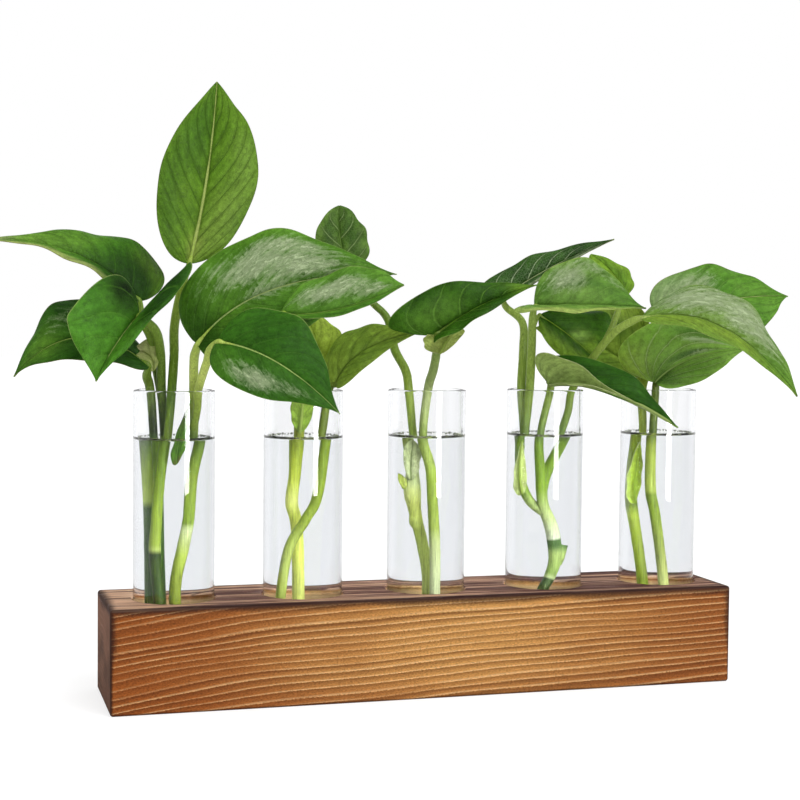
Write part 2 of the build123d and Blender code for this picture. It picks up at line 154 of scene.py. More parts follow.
# Each stem's branches. Inside the tube a point's first two shares are of stem_room and its third, which is
# negative, is of stem_drop. Above the rim all three are of spray_reach. The fourth is the thickness there.
stem_shares = {
    "stem_1_left": [
        [(-0.48, 0.34, -1.0, 1.0), (-0.50, 0.36, -0.65, 1.0), (-0.54, 0.36, -0.42, 1.0),
         (-0.66, 0.36, -0.16, 1.0), (-0.083, 0.05, 0.0, 1.0), (-0.10, 0.01, 0.05, 1.0),
         (-0.10, -0.04, 0.09, 0.6)],
    ],
    "stem_1_back": [
        [(-0.18, 0.68, -1.0, 1.0), (-0.27, 0.70, -0.45, 1.0), (-0.25, 0.64, -0.20, 1.0),
         (-0.042, 0.04, 0.0, 1.0), (-0.055, -0.03, 0.13, 1.0), (-0.08, -0.10, 0.21, 1.0),
         (-0.12, -0.14, 0.25, 0.9), (-0.15, -0.16, 0.27, 0.6)],
        [(-0.25, 0.62, -0.18, 1.0), (-0.28, 0.74, -0.09, 1.0), (-0.040, 0.09, 0.0, 1.0),
         (-0.07, 0.02, 0.11, 1.0), (-0.09, -0.03, 0.19, 1.0), (-0.13, -0.08, 0.26, 0.9),
         (-0.14, -0.10, 0.32, 0.6)],
    ],
    "stem_1_middle": [
        [(-0.32, -0.10, -1.0, 1.0), (-0.38, -0.10, -0.83, 1.0), (-0.52, -0.12, -0.62, 1.15),
         (-0.48, -0.12, -0.49, 1.0), (-0.38, -0.08, -0.33, 1.0), (-0.22, -0.04, -0.17, 1.0),
         (-0.008, 0.01, 0.0, 1.0), (0.0, 0.01, 0.13, 1.0), (-0.005, -0.03, 0.23, 1.0),
         (0.01, -0.07, 0.35, 0.9), (0.04, -0.09, 0.46, 0.6)],
    ],
    "stem_1_right": [
        [(0.14, 0.14, -1.0, 1.0), (0.05, 0.14, -0.76, 1.0), (0.24, 0.14, -0.60, 1.05),
         (0.37, 0.12, -0.49, 1.0), (0.45, 0.08, -0.33, 1.0), (0.66, 0.0, -0.17, 1.0),
         (0.07, -0.01, 0.0, 1.0), (0.06, -0.08, 0.11, 1.0), (0.06, -0.13, 0.15, 0.9),
         (0.06, -0.16, 0.17, 0.6)],
        [(0.62, -0.05, -0.15, 1.0), (0.70, -0.40, -0.07, 0.9), (0.076, -0.075, 0.0, 0.9),
         (0.09, -0.19, 0.11, 0.9), (0.09, -0.25, 0.15, 0.85), (0.11, -0.30, 0.18, 0.6)],
        [(0.09, -0.19, 0.11, 0.8), (0.13, -0.24, 0.15, 0.8), (0.19, -0.27, 0.18, 0.8),
         (0.26, -0.30, 0.23, 0.75), (0.33, -0.33, 0.28, 0.6)],
    ],
    "stem_2_left": [
        [(0.0, 0.41, -1.0, 1.0), (0.0, 0.41, -0.80, 1.0), (-0.05, 0.41, -0.54, 1.0),
         (-0.18, 0.41, -0.44, 1.05), (-0.11, 0.40, -0.33, 1.0), (-0.07, 0.36, -0.17, 1.3),
         (0.0, 0.03, 0.0, 1.2), (0.05, 0.02, 0.015, 1.0), (0.08, 0.02, 0.04, 0.6)],
    ],
    "stem_2_right": [
        [(-0.70, -0.18, -1.0, 1.0), (-0.68, -0.18, -0.82, 1.0), (-0.44, -0.18, -0.62, 1.0),
         (0.04, -0.18, -0.50, 1.0), (0.35, -0.18, -0.41, 1.0), (0.58, -0.25, -0.18, 1.0),
         (0.09, -0.035, 0.0, 0.9), (0.11, -0.06, 0.02, 0.6)],
    ],
    "stem_3_left": [
        [(0.27, 0.36, -1.0, 1.2), (0.26, 0.36, -0.82, 1.5), (0.18, 0.36, -0.73, 1.1),
         (0.02, 0.36, -0.61, 1.0), (-0.17, 0.36, -0.49, 1.1), (-0.25, 0.36, -0.40, 1.5),
         (-0.26, 0.36, -0.32, 1.1), (-0.40, 0.36, -0.18, 1.0), (-0.066, 0.03, 0.0, 1.0),
         (-0.07, 0.06, 0.07, 1.0), (-0.10, 0.11, 0.15, 1.0), (-0.12, 0.15, 0.27, 0.9),
         (-0.18, 0.18, 0.34, 0.8), (-0.26, 0.20, 0.45, 0.6)],
    ],
    "stem_3_right": [
        [(0.20, -0.18, -1.0, 1.0), (0.22, -0.18, -0.72, 1.0), (0.19, -0.18, -0.58, 1.05),
         (0.13, -0.18, -0.45, 1.0), (0.06, -0.18, -0.31, 1.0), (-0.19, -0.19, -0.18, 1.0),
         (-0.006, -0.03, 0.0, 1.0), (0.0, -0.08, 0.08, 1.0), (-0.01, -0.15, 0.16, 0.9),
         (-0.03, -0.20, 0.21, 0.6)],
    ],
    "stem_4": [
        [(-0.14, -0.10, -1.0, 1.1), (-0.12, -0.14, -0.84, 1.1), (0.14, -0.14, -0.76, 1.1),
         (0.29, -0.14, -0.69, 1.25), (0.25, -0.14, -0.61, 1.35), (0.13, -0.14, -0.54, 1.3),
         (-0.08, -0.12, -0.46, 1.1), (-0.18, -0.15, -0.33, 1.0), (-0.26, -0.25, -0.18, 0.9),
         (0.01, -0.03, 0.0, 0.85), (-0.01, -0.06, 0.03, 0.6)],
        [(0.0, -0.10, -0.50, 1.1), (-0.34, 0.08, -0.46, 1.0), (-0.62, 0.10, -0.39, 1.0),
         (-0.72, 0.10, -0.30, 1.0), (-0.72, 0.08, -0.18, 1.0), (-0.07, -0.01, 0.0, 1.0),
         (-0.08, -0.05, 0.15, 1.0), (-0.10, -0.11, 0.27, 0.9), (-0.10, -0.13, 0.32, 0.6)],
        [(-0.72, 0.09, -0.24, 1.0), (-0.76, 0.20, -0.12, 1.0), (-0.09, 0.03, 0.0, 1.0),
         (-0.08, 0.04, 0.15, 1.0), (-0.07, 0.08, 0.26, 0.9), (-0.12, 0.13, 0.32, 0.8),
         (-0.15, 0.09, 0.36, 0.45)],
        [(-0.09, -0.08, 0.21, 0.8), (-0.08, -0.065, 0.25, 0.75), (-0.05, -0.05, 0.29, 0.4)],
        [(-0.08, -0.10, -0.46, 1.0), (0.02, 0.18, -0.41, 1.0), (0.16, 0.26, -0.34, 1.0),
         (0.40, 0.12, -0.25, 1.0), (0.58, -0.08, -0.18, 0.95), (0.80, -0.22, -0.09, 0.95),
         (0.102, -0.032, 0.0, 0.9), (0.14, -0.11, 0.11, 0.9), (0.20, -0.19, 0.22, 0.9),
         (0.26, -0.24, 0.27, 0.85), (0.29, -0.26, 0.28, 0.6)],
        [(0.17, -0.15, 0.16, 0.8), (0.23, -0.12, 0.25, 0.75), (0.27, -0.10, 0.34, 0.6)],
    ],
    "stem_5_left": [
        [(-0.11, 0.45, -1.0, 1.0), (-0.14, 0.45, -0.81, 1.0), (-0.35, 0.45, -0.61, 1.0),
         (-0.53, 0.45, -0.47, 1.15), (-0.53, 0.45, -0.34, 1.0), (-0.40, 0.45, -0.18, 1.0),
         (-0.045, 0.055, 0.0, 1.0), (0.01, 0.09, 0.11, 1.0), (0.04, 0.08, 0.22, 0.9),
         (0.03, 0.04, 0.28, 0.6)],
        [(-0.40, 0.45, -0.18, 0.9), (-0.04, 0.09, 0.0, 0.9), (-0.02, 0.14, 0.035, 0.8),
         (0.0, 0.17, 0.05, 0.5)],
    ],
    "stem_5_right": [
        [(0.23, -0.09, -1.0, 1.0), (0.20, -0.09, -0.81, 1.0), (0.05, -0.09, -0.64, 1.0),
         (-0.10, -0.09, -0.51, 1.05), (-0.25, -0.09, -0.40, 1.1), (-0.24, -0.09, -0.18, 1.0),
         (-0.02, -0.015, 0.0, 0.9), (-0.03, -0.03, 0.02, 0.6)],
    ],
}

# Small curls, buds and sheaths, which have no solids. Their places are as a leaf's, also below the rim.
curl_shares = {
    "curl_1_low": ((-0.08, -0.03, 0.07), (-0.10, -0.03, 0.13), (-0.17, -0.02, 0.14),
                   (-0.08, -0.02, 0.18), (-0.125, -0.04, 0.11), 0.45, (0.2, 0.0), 1.0),
    "curl_1_bud": ((0.0, -0.05, -0.27), (0.01, -0.06, -0.17), (0.05, -0.06, -0.035),
                   (-0.015, -0.05, -0.22), (0.035, -0.06, -0.165), 0.35, (0.0, 0.0), 1.3),
    "curl_2_wedge": ((-0.015, 0.0, -0.165), (-0.01, -0.01, -0.11), (-0.005, -0.02, -0.03),
                     (-0.05, -0.01, -0.045), (0.035, -0.02, -0.06), 0.75, (0.0, 0.0), 0.8),
    "curl_3_flare": ((-0.015, -0.20, 0.14), (0.01, -0.21, 0.19), (0.045, -0.22, 0.24),
                     (-0.065, -0.20, 0.215), (0.075, -0.22, 0.22), 0.75, (0.0, 0.0), 0.8),
    "curl_3_sheath": ((-0.045, 0.01, -0.35), (-0.045, 0.01, -0.275), (-0.04, 0.01, -0.195),
                      (-0.07, 0.01, -0.245), (-0.015, 0.01, -0.26), 0.55, (0.0, 0.0), 0.7),
    "curl_3_bud": ((-0.055, 0.03, -0.385), (-0.065, 0.03, -0.355), (-0.075, 0.03, -0.325),
                   (-0.075, 0.03, -0.355), (-0.05, 0.03, -0.35), 0.45, (0.0, 0.0), 0.9),
    "curl_4_front": ((-0.02, -0.085, 0.02), (0.15, -0.245, 0.005), (0.44, -0.285, -0.14),
                     (-0.06, -0.20, 0.14), (-0.01, -0.20, 0.025), 0.12, (0.15, 0.0), 6.0),
    "curl_4_sheath": ((-0.085, -0.02, -0.41), (-0.10, -0.02, -0.32), (-0.095, -0.03, -0.20),
                      (-0.12, -0.01, -0.37), (-0.075, -0.03, -0.325), 0.4, (0.0, 0.0), 0.9),
    "curl_5_sheath": ((-0.06, 0.03, -0.465), (-0.065, 0.03, -0.365), (-0.05, 0.02, -0.21),
                      (-0.095, 0.03, -0.39), (-0.04, 0.02, -0.33), 0.45, (0.0, 0.0), 0.9),
}

# Cut stubs, which have no solids either. Their places are as a stem's.
stub_shares = {
    "stem_3_left": [[(-0.23, 0.36, -0.46, 0.9), (-0.32, 0.34, -0.43, 1.0), (-0.38, 0.34, -0.40, 0.6)],
                    [(-0.05, 0.35, -0.56, 0.9), (-0.18, 0.34, -0.53, 1.0), (-0.25, 0.34, -0.50, 0.6)],
                    [(0.26, 0.36, -0.97, 1.0), (0.12, 0.33, -0.92, 0.9), (0.02, 0.33, -0.86, 0.5)]],
    "stem_4": [[(0.34, -0.14, -0.71, 0.9), (0.40, -0.14, -0.68, 1.1), (0.50, -0.14, -0.63, 1.0)]],
}


def chart(red, green, blue):
    """A linear colour, from its display values of 0 to 255."""
    shares = (value / 255 for value in (red, green, blue))
    return tuple(share / 12.92 if share <= 0.04045 else ((share + 0.055) / 1.055) ** 2.4 for share in shares)


@dataclass
class LeafColours:
    """A leaf's colours, as display values. A patch is its place along and across the blade, how far it
    reaches each way, its colour and its strength. Some hold the leaf's own tones, some painted shade in folds
    and at its foot, and some painted highlights. A highlight spot is the same without a colour: there a
    silver highlight is painted. Across runs from -1 at the far edge to 1 at the near edge."""
    main: tuple
    second: tuple
    under: tuple
    rib: tuple
    veins: tuple
    edge: tuple
    vein_strength: float = 0.3
    colour_shade_and_highlight_patches: tuple = ()
    under_patches: tuple = ()
    painted_sheens: tuple = ()
    rib_width: float = 0.45
    fanned: bool = False


DEEP = (26, 60, 12)
LIME = (140, 176, 58)
OLIVE = (110, 136, 50)
SAGE = (150, 168, 112)
# The silver of the painted highlight on the leaves
PAINTED_SHEEN_TONE = (180, 198, 152)
TAN = (150, 135, 90)

leaf_colours = {
    "leaf_1_upright": LeafColours(
        (80, 120, 26), (102, 142, 38), OLIVE, (178, 194, 110), (58, 92, 20), (96, 100, 50), 0.55,
        ((0.2, 0.5, 0.25, 0.5, (128, 156, 66), 0.6), (0.75, -0.4, 0.25, 0.5, (62, 104, 26), 0.7),
         (0.5, 0.7, 0.25, 0.3, (112, 146, 56), 0.6), (0.3, -0.8, 0.3, 0.25, (66, 104, 30), 0.6),
         (0.05, 0.0, 0.12, 0.25, (160, 182, 84), 0.8)), rib_width=0.9),
    # Its darkest patches paint the shade in its folds
    "leaf_1_far_left": LeafColours(
        (54, 104, 20), (70, 124, 28), SAGE, (150, 180, 90), (80, 130, 40), TAN, 0.25,
        ((0.7, -0.1, 0.25, 1.0, (112, 156, 54), 0.8), (0.12, -0.5, 0.2, 0.55, (16, 40, 5), 1.0),
         (0.5, 0.9, 0.6, 0.18, (176, 186, 110), 0.7), (0.95, 0.0, 0.1, 1.0, (190, 198, 140), 0.7),
         (0.15, 0.2, 0.25, 0.8, (30, 62, 12), 0.8), (0.1, -0.8, 0.2, 0.25, (110, 150, 50), 0.5))),
    "leaf_1_low_left": LeafColours(
        (36, 78, 18), (54, 102, 26), (140, 146, 84), (150, 180, 90), (70, 116, 36), TAN, 0.3,
        ((0.8, 0.1, 0.2, 0.8, (104, 146, 48), 0.5), (0.3, 0.3, 0.3, 0.6, DEEP, 0.6)), (),
        ((0.5, -0.5, 0.3, 0.3, 0.45),)),
    # Its dark patches paint the shade in its folded lobes
    "leaf_1_front_left": LeafColours(
        (62, 116, 28), (80, 136, 38), SAGE, (170, 196, 110), (96, 150, 50), (160, 180, 104), 0.35,
        ((0.3, 0.6, 0.35, 0.4, (28, 62, 12), 0.85), (0.5, -0.5, 0.35, 0.4, (78, 136, 38), 0.5),
         (0.1, -0.65, 0.13, 0.55, (12, 30, 5), 1.0), (0.32, 0.65, 0.3, 0.35, (26, 62, 10), 0.85),
         (0.75, -0.1, 0.3, 0.6, (84, 140, 42), 0.7))),
    # Its dark patches at the foot and along the near half paint shade
    "leaf_1_broad": LeafColours(
        (70, 116, 28), (92, 142, 42), SAGE, (166, 190, 112), (96, 142, 54), (140, 164, 90), 0.35,
        ((0.06, 0.0, 0.12, 1.0, (30, 64, 10), 0.95), (0.35, 0.6, 0.35, 0.35, (54, 100, 24), 0.6),
         (0.75, 0.4, 0.25, 0.6, (70, 118, 34), 0.5)), (),
        ((0.42, -0.5, 0.22, 0.3, 1.0), (0.62, -0.35, 0.22, 0.35, 1.0), (0.25, -0.7, 0.12, 0.2, 0.5),
         (0.55, -0.7, 0.3, 0.2, 0.9), (0.48, -0.05, 0.2, 0.2, 0.7), (0.8, 0.0, 0.15, 0.3, 0.8))),
    "leaf_1_right": LeafColours(
        (76, 122, 34), (100, 150, 50), SAGE, (130, 164, 70), (90, 134, 50), (150, 160, 100), 0.3,
        ((0.5, 0.75, 0.5, 0.3, (50, 98, 22), 0.7),), (),
        ((0.4, -0.5, 0.33, 0.32, 1.0), (0.7, -0.35, 0.25, 0.25, 0.8))),
    "leaf_1_front": LeafColours(
        (48, 94, 22), (62, 112, 28), SAGE, (170, 196, 110), (84, 134, 44), (160, 182, 100), 0.3,
        ((0.5, -0.6, 0.4, 0.4, (40, 84, 18), 0.6), (0.1, 0.6, 0.2, 0.4, (84, 132, 40), 0.5)), (),
        ((0.4, 0.6, 0.2, 0.3, 0.9), (0.62, 0.55, 0.2, 0.25, 0.6), (0.22, 0.6, 0.12, 0.2, 0.4))),
    "leaf_2_back": LeafColours(
        (142, 168, 52), (156, 180, 68), (142, 168, 52), (164, 188, 80), (124, 150, 46), (150, 176, 70), 0.35),
    "leaf_2_side": LeafColours(
        (104, 134, 44), (130, 158, 56), (116, 146, 50), (88, 116, 34), (90, 120, 36), LIME, 0.5,
        ((0.5, 0.5, 0.5, 0.4, (84, 116, 34), 0.6),), ((0.4, 0.7, 0.6, 0.3, (150, 172, 76), 0.7),)),
    "leaf_3_small": LeafColours(
        (62, 98, 28), (108, 142, 62), (84, 118, 48), (104, 136, 60), (142, 168, 104), (110, 120, 74), 0.9,
        ((0.5, -0.5, 0.5, 0.25, (44, 78, 20), 0.7), (0.5, 0.4, 0.4, 0.2, (50, 84, 24), 0.7))),
    "leaf_3_front": LeafColours(
        (38, 76, 12), (60, 106, 22), SAGE, (110, 156, 50), (110, 158, 60), (140, 164, 80), 0.55,
        ((0.92, 0.0, 0.12, 1.0, (120, 160, 50), 0.7), (0.25, -0.4, 0.2, 0.35, (92, 136, 44), 0.6),
         (0.55, 0.5, 0.3, 0.5, (34, 72, 12), 0.6))),
    "leaf_4_long": LeafColours(
        (34, 70, 18), (62, 104, 34), SAGE, (180, 196, 140), (170, 192, 146), TAN, 1.0,
        ((0.1, 0.0, 0.12, 1.0, (70, 116, 34), 0.6),), (),
        ((0.6, 0.8, 0.5, 0.25, 1.0), (0.8, 0.3, 0.2, 0.4, 0.6))),
    "leaf_4_bowl": LeafColours(
        (84, 128, 44), (122, 162, 70), SAGE, (110, 150, 56), (120, 160, 74), (170, 190, 96), 0.5,
        ((0.9, -0.5, 0.2, 0.5, (60, 104, 26), 0.7), (0.45, -0.45, 0.3, 0.12, (40, 82, 20),
         0.6), (0.5, 0.9, 0.6, 0.2, (172, 188, 100), 0.7),
         (0.75, -0.3, 0.2, 0.5, (92, 140, 44), 0.6)), (),
        ((0.3, -0.6, 0.2, 0.4, 0.9), (0.5, -0.8, 0.3, 0.2, 0.7))),
    "leaf_4_behind": LeafColours(
        (112, 152, 40), (134, 172, 56), (112, 152, 40), LIME, (92, 132, 36), (70, 90, 30), 0.35,
        ((0.5, 0.3, 0.6, 0.3, (88, 134, 34), 0.6),)),
    "leaf_4_hanging": LeafColours(
        (52, 94, 20), (78, 124, 32), (60, 104, 24), LIME, (92, 138, 48), LIME, 0.4,
        ((0.4, 0.8, 0.6, 0.4, LIME, 0.9), (0.57, -0.13, 0.13, 0.2, (150, 190, 84), 0.95),
         (0.85, -0.2, 0.2, 0.3, LIME, 0.9)),
        ((0.4, 0.8, 0.6, 0.4, LIME, 0.9), (0.57, -0.13, 0.13, 0.2, (150, 190, 84), 0.95),
         (0.85, -0.2, 0.2, 0.3, LIME, 0.9))),
    "leaf_4_front": LeafColours(
        (34, 78, 10), (54, 104, 20), SAGE, (120, 160, 56), (76, 128, 36), (150, 172, 90), 0.4,
        ((0.6, 0.5, 0.4, 0.4, (76, 130, 34), 0.5), (0.25, -0.5, 0.2, 0.4, (30, 66, 10), 0.6))),
    "leaf_4_droop": LeafColours(
        (98, 138, 44), (118, 156, 60), (150, 178, 76), (84, 110, 36), (108, 142, 56), (150, 170, 80), 0.4,
        ((0.45, 0.5, 0.6, 0.45, (122, 152, 50), 0.9), (0.85, 0.0, 0.15, 1.0, (84, 132, 40), 0.6)), (),
        ((0.3, -0.5, 0.3, 0.5, 1.0), (0.6, -0.5, 0.25, 0.5, 1.0), (0.45, -0.8, 0.4, 0.25, 0.8))),
    "leaf_5_left": LeafColours(
        (128, 156, 52), (148, 174, 70), (132, 160, 56), (96, 126, 40), (72, 106, 30), (190, 200, 130), 0.5,
        ((0.5, -0.4, 0.3, 0.2, (66, 104, 28), 0.8), (0.35, 0.3, 0.3, 0.2, (78, 116, 32), 0.7),
         (0.75, 0.5, 0.2, 0.3, (92, 134, 38), 0.6)),
        ((0.5, -0.4, 0.3, 0.2, (66, 104, 28), 0.8), (0.35, 0.3, 0.3, 0.2, (78, 116, 32), 0.7))),
    # Its pale sage patch near the foot is a painted highlight
    "leaf_5_back": LeafColours(
        (80, 132, 36), (100, 150, 50), (150, 166, 116), (170, 190, 110), (120, 160, 76), (140, 120, 70), 0.4,
        ((0.12, -0.2, 0.2, 0.9, (160, 176, 130), 0.85),), (), ((0.3, -0.5, 0.2, 0.4, 0.7),)),
    "leaf_5_fan": LeafColours(
        (112, 158, 54), (136, 178, 78), SAGE, (150, 176, 96), (176, 200, 128), (160, 180, 90), 0.7,
        ((0.1, 0.1, 0.16, 0.6, (50, 94, 20), 0.9), (0.4, 0.5, 0.4, 0.4, (84, 128, 36), 0.7),
         (0.5, -0.15, 0.3, 0.08, (46, 90, 20), 0.8),
         (0.7, -0.75, 0.25, 0.2, (44, 90, 20), 0.7), (0.08, -0.8, 0.22, 0.6, (128, 160, 54), 0.9)), (),
        ((0.7, -0.5, 0.2, 0.15, 0.8), (0.6, -0.15, 0.2, 0.1, 0.6)), fanned=True),
}

curl_colours = {
    "curl_1_low": LeafColours(
        (150, 164, 92), (172, 182, 112), (150, 164, 92), (120, 136, 60), (112, 130, 56), (160, 168, 110), 0.3,
        ((0.9, 0.0, 0.3, 1.0, (182, 180, 132), 0.8),)),
    "curl_1_bud": LeafColours(
        (66, 110, 22), (88, 136, 34), (66, 110, 22), (96, 140, 44), (44, 80, 16), (60, 86, 24), 0.3,
        ((0.85, 0.0, 0.35, 1.0, (70, 88, 36), 0.9), (0.0, 0.0, 0.12, 1.0, (104, 84, 44), 0.9))),
    "curl_2_wedge": LeafColours(
        (126, 156, 54), (150, 176, 76), (126, 156, 54), (150, 172, 80), (70, 100, 26), (96, 120, 40), 0.4,
        ((0.2, 0.0, 0.3, 1.0, (60, 90, 22), 0.7),)),
    "curl_3_flare": LeafColours(
        (150, 166, 84), (170, 182, 108), (150, 166, 84), (128, 150, 62), (120, 142, 58), (186, 190, 140), 0.4,
        ((0.1, 0.0, 0.2, 1.0, (112, 140, 48), 0.8),)),
    "curl_3_sheath": LeafColours(
        (176, 190, 128), (194, 204, 150), (176, 190, 128), (96, 116, 44), (150, 168, 96),
        (200, 208, 160), 0.3),
    "curl_3_bud": LeafColours(
        (190, 206, 84), (204, 216, 110), (190, 206, 84), (170, 190, 70), (160, 180, 70),
        (200, 210, 130), 0.3),
    "curl_4_front": LeafColours(
        (140, 162, 88), (162, 180, 112), (140, 162, 88), (150, 170, 96), (118, 144, 66),
        (176, 186, 130), 0.35,
        ((0.0, 0.2, 0.12, 1.0, (120, 150, 60), 0.6), (0.05, -1.0, 0.1, 0.2, (110, 120, 80), 0.7))),
    "curl_4_sheath": LeafColours(
        (186, 202, 118), (200, 212, 140), (186, 202, 118), (150, 174, 70), (140, 166, 66),
        (216, 222, 180), 0.4,
        ((0.35, -0.9, 0.6, 0.4, (214, 218, 184), 0.7),)),
    "curl_5_sheath": LeafColours(
        (164, 188, 66), (180, 200, 86), (164, 188, 66), (140, 170, 54), (130, 158, 50), (210, 216, 170), 0.4,
        ((0.4, -0.9, 0.6, 0.3, (200, 208, 160), 0.7),)),
}

blade_shares = {**leaf_shares, **curl_shares}
blade_colours = {**leaf_colours, **curl_colours}

# The colours up each stem: height from the rim in millimetres, then display values. Between two heights they
# blend, so two stops close together make the sharp ring of a node.
stem_colours = {
    "stem_1_left": (
        (-97, 56, 92, 22), (-43.4, 62, 96, 24), (-42.9, 34, 52, 16), (-42.5, 160, 184, 84),
        (-40, 176, 198, 78), (-33, 154, 180, 56), (-19, 70, 104, 20), (-17, 36, 52, 12), (-10, 46, 62, 14),
        (-4, 92, 114, 42), (12, 116, 146, 48)),
    "stem_1_back": (
        (-97, 72, 106, 26), (-43.2, 66, 102, 28), (-42.6, 40, 64, 18), (-42.2, 96, 140, 40),
        (-33.5, 70, 116, 30), (-32.8, 140, 170, 58), (-19, 116, 148, 44), (-17, 54, 76, 18),
        (30, 118, 148, 52)),
    "stem_1_middle": (
        (-97, 58, 88, 22), (-61, 58, 82, 14), (-60.2, 36, 60, 12), (-59.8, 200, 212, 124),
        (-57, 156, 178, 62), (-44, 146, 172, 50), (-33, 120, 148, 36), (-19, 98, 128, 24),
        (-17, 104, 128, 36), (-4, 80, 112, 20), (10, 100, 130, 34), (46, 152, 178, 70)),
    # Its pale stop just above the rim paints a highlight onto the stem's own green
    "stem_1_right": (
        (-97, 146, 160, 52), (-70, 142, 158, 48), (-61, 172, 192, 74), (-51, 214, 224, 164),
        (-49.8, 140, 168, 54), (-33, 134, 156, 44), (-19, 100, 132, 30), (-17, 104, 130, 36),
        (-4, 150, 172, 62), (6, 200, 216, 112), (28, 138, 170, 56)),
    "stem_2_left": (
        (-97, 216, 222, 130), (-61.8, 212, 220, 96), (-47.4, 214, 226, 92), (-42.2, 226, 232, 124),
        (-34, 188, 202, 62), (-19.6, 142, 160, 32), (-17.5, 144, 156, 46), (5, 116, 138, 36)),
    "stem_2_right": (
        (-97, 164, 178, 68), (-61.8, 172, 188, 90), (-49.4, 134, 154, 42), (-19.6, 116, 140, 24),
        (-17.5, 92, 108, 26), (5, 90, 112, 30)),
    "stem_3_left": (
        (-97, 110, 122, 42), (-89, 146, 166, 66), (-83.3, 78, 94, 30), (-82.7, 196, 208, 112),
        (-65.7, 182, 198, 96), (-55.1, 166, 182, 80), (-44.5, 196, 206, 98), (-39.2, 210, 220, 130),
        (-36, 186, 198, 132), (-20.1, 158, 172, 88), (-18, 124, 146, 52), (-4.2, 146, 170, 64),
        (20, 96, 126, 34), (46, 108, 136, 48)),
    "stem_3_right": (
        (-97, 204, 212, 166), (-70, 196, 206, 150), (-58.3, 182, 194, 126), (-53, 142, 160, 62),
        (-35, 140, 164, 46), (-27.6, 156, 176, 78), (-20.1, 140, 160, 64), (-18, 120, 140, 54),
        (-4.2, 160, 174, 112), (21, 106, 136, 46)),
    "stem_4": (
        (-97, 48, 66, 26), (-74.5, 70, 92, 40), (-73.9, 190, 204, 140), (-72.5, 136, 164, 76),
        (-64.8, 166, 188, 104), (-61.6, 78, 112, 50), (-59, 88, 122, 60), (-58.6, 214, 222, 186),
        (-49.7, 186, 202, 128), (-38.9, 126, 158, 34), (-20.5, 108, 138, 34), (-18.4, 92, 116, 50),
        (-4.3, 126, 150, 58), (10, 142, 168, 70), (36, 146, 170, 76)),
    "stem_5_left": (
        (-97, 154, 172, 56), (-66, 150, 170, 50), (-50.6, 182, 204, 70), (-47.3, 134, 158, 52),
        (-36.3, 140, 160, 54), (-20.9, 144, 166, 44), (-18.7, 136, 154, 46), (28, 104, 134, 38)),
    "stem_5_right": (
        (-97, 202, 208, 130), (-77, 192, 200, 116), (-63.8, 140, 154, 70), (-48.4, 132, 156, 42),
        (-41.2, 120, 144, 40), (-40.7, 164, 180, 76), (-20.9, 144, 162, 48), (-18.7, 78, 98, 22),
        (4, 86, 106, 26)),
}


def size(name, description, default):
    """A length that a user may change."""
    return bpy.props.FloatProperty(name=name, description=description, default=default, min=0, unit="LENGTH",
                                   precision=5)


def share(name, description, default):
    """A share from 0 to 1 that a user may change."""
    return bpy.props.FloatProperty(name=name, description=description, default=default, min=0, max=1,
                                   subtype="FACTOR")


def amount(name, description, default):
    """A plain number that a user may change."""
    return bpy.props.FloatProperty(name=name, description=description, default=default, min=0)


def count(name, description, default):
    """A whole number that a user may change."""
    return bpy.props.IntProperty(name=name, description=description, default=default, min=1)


def tone(name, description, red, green, blue):
    """A colour that a user may change, given by its display values."""
    return bpy.props.FloatVectorProperty(name=name, description=description, default=chart(red, green, blue),
                                         min=0, max=1, size=3, subtype="COLOR")


class WoodLook(bpy.types.PropertyGroup):
    """The torched and brushed pine."""
    line_tone: tone("Grain Lines", "The pale, thin lines of the hard grain", 234, 190, 134)
    body_tone: tone("Body", "The wood between the lines", 146, 78, 30)
    gold_tone: tone("Golden Body", "The warmer wood in the middle of the front", 202, 148, 82)
    dark_tone: tone("Dark Grain", "The dark side of each ring", 92, 46, 20)
    top_tone: tone("Top", "The scorched top face", 98, 60, 52)
    streak_tone: tone("Top Streaks", "The pale streaks on the top face", 216, 174, 142)
    end_tone: tone("Ends", "The scorched end faces", 96, 66, 50)
    char_tone: tone("Char", "The burnt edges", 44, 24, 20)
    raw_tone: tone("Raw Pine", "The walls of the sockets, bored after the torching", 190, 152, 104)
    ring_spacing: size("Ring Spacing", "From one grain line to the next", 2.5 * MM)
    char_width: size("Char Width", "How far the burnt edge reaches", 2.2 * MM)
    relief: size("Relief", "How deep the soft grain is brushed out", 0.3 * MM)
    socket_radius: size("Socket Radius", "How far a socket's raw pine reaches from its middle", 15.6 * MM)


class GlassLook(bpy.types.PropertyGroup):
    """The tubes' clear glass."""
    tint: tone("Tint", "What the glass lets through where it is thick", 90, 122, 160)
    tint_strength: amount("Tint Strength", "How fast the glass takes on its tint, per metre", 30)
    ior: amount("Refractive Index", "How strongly the glass bends light", 1.47)


class WaterLook(bpy.types.PropertyGroup):
    """The water in the tubes."""
    surface_height: size("Surface Height", "The water's height above the table", 96.6 * MM)
    climb: size("Climb", "How far the water climbs the glass at its edge", 1.2 * MM)
    glass_overlap: size("Overlap", "How far the water reaches into the glass to leave no gap", 0.04 * MM)
    tint: tone("Tint", "What the water lets through", 90, 150, 190)
    tint_strength: amount("Tint Strength", "How fast the water takes on its tint, per metre", 3)
    ior: amount("Refractive Index", "How strongly the water bends light", 1.333)
    bubble_count: count("Bubbles", "Small bubbles round the edge of the water", 100)
    bubble_radius: size("Bubble Radius", "The largest bubble", 0.5 * MM)
    # The bubbles' skin colour is painted shade: the dark line where the water meets the glass
    bubble_shade_tone: tone("Bubble Skin", "The bubbles' skin", 128, 132, 100)


class StemLook(bpy.types.PropertyGroup):
    """The cuttings' stems."""
    sides: count("Sides", "Faces round each stem", 20)
    steps: count("Steps", "Rings from one place of a stem to the next", 8)
    lump_height: size("Lumps", "How uneven the skin is", 0.22 * MM)
    stalk_grip: share("Stalk Grip", "How far a leaf stalk runs on under its leaf's midrib", 0.16)


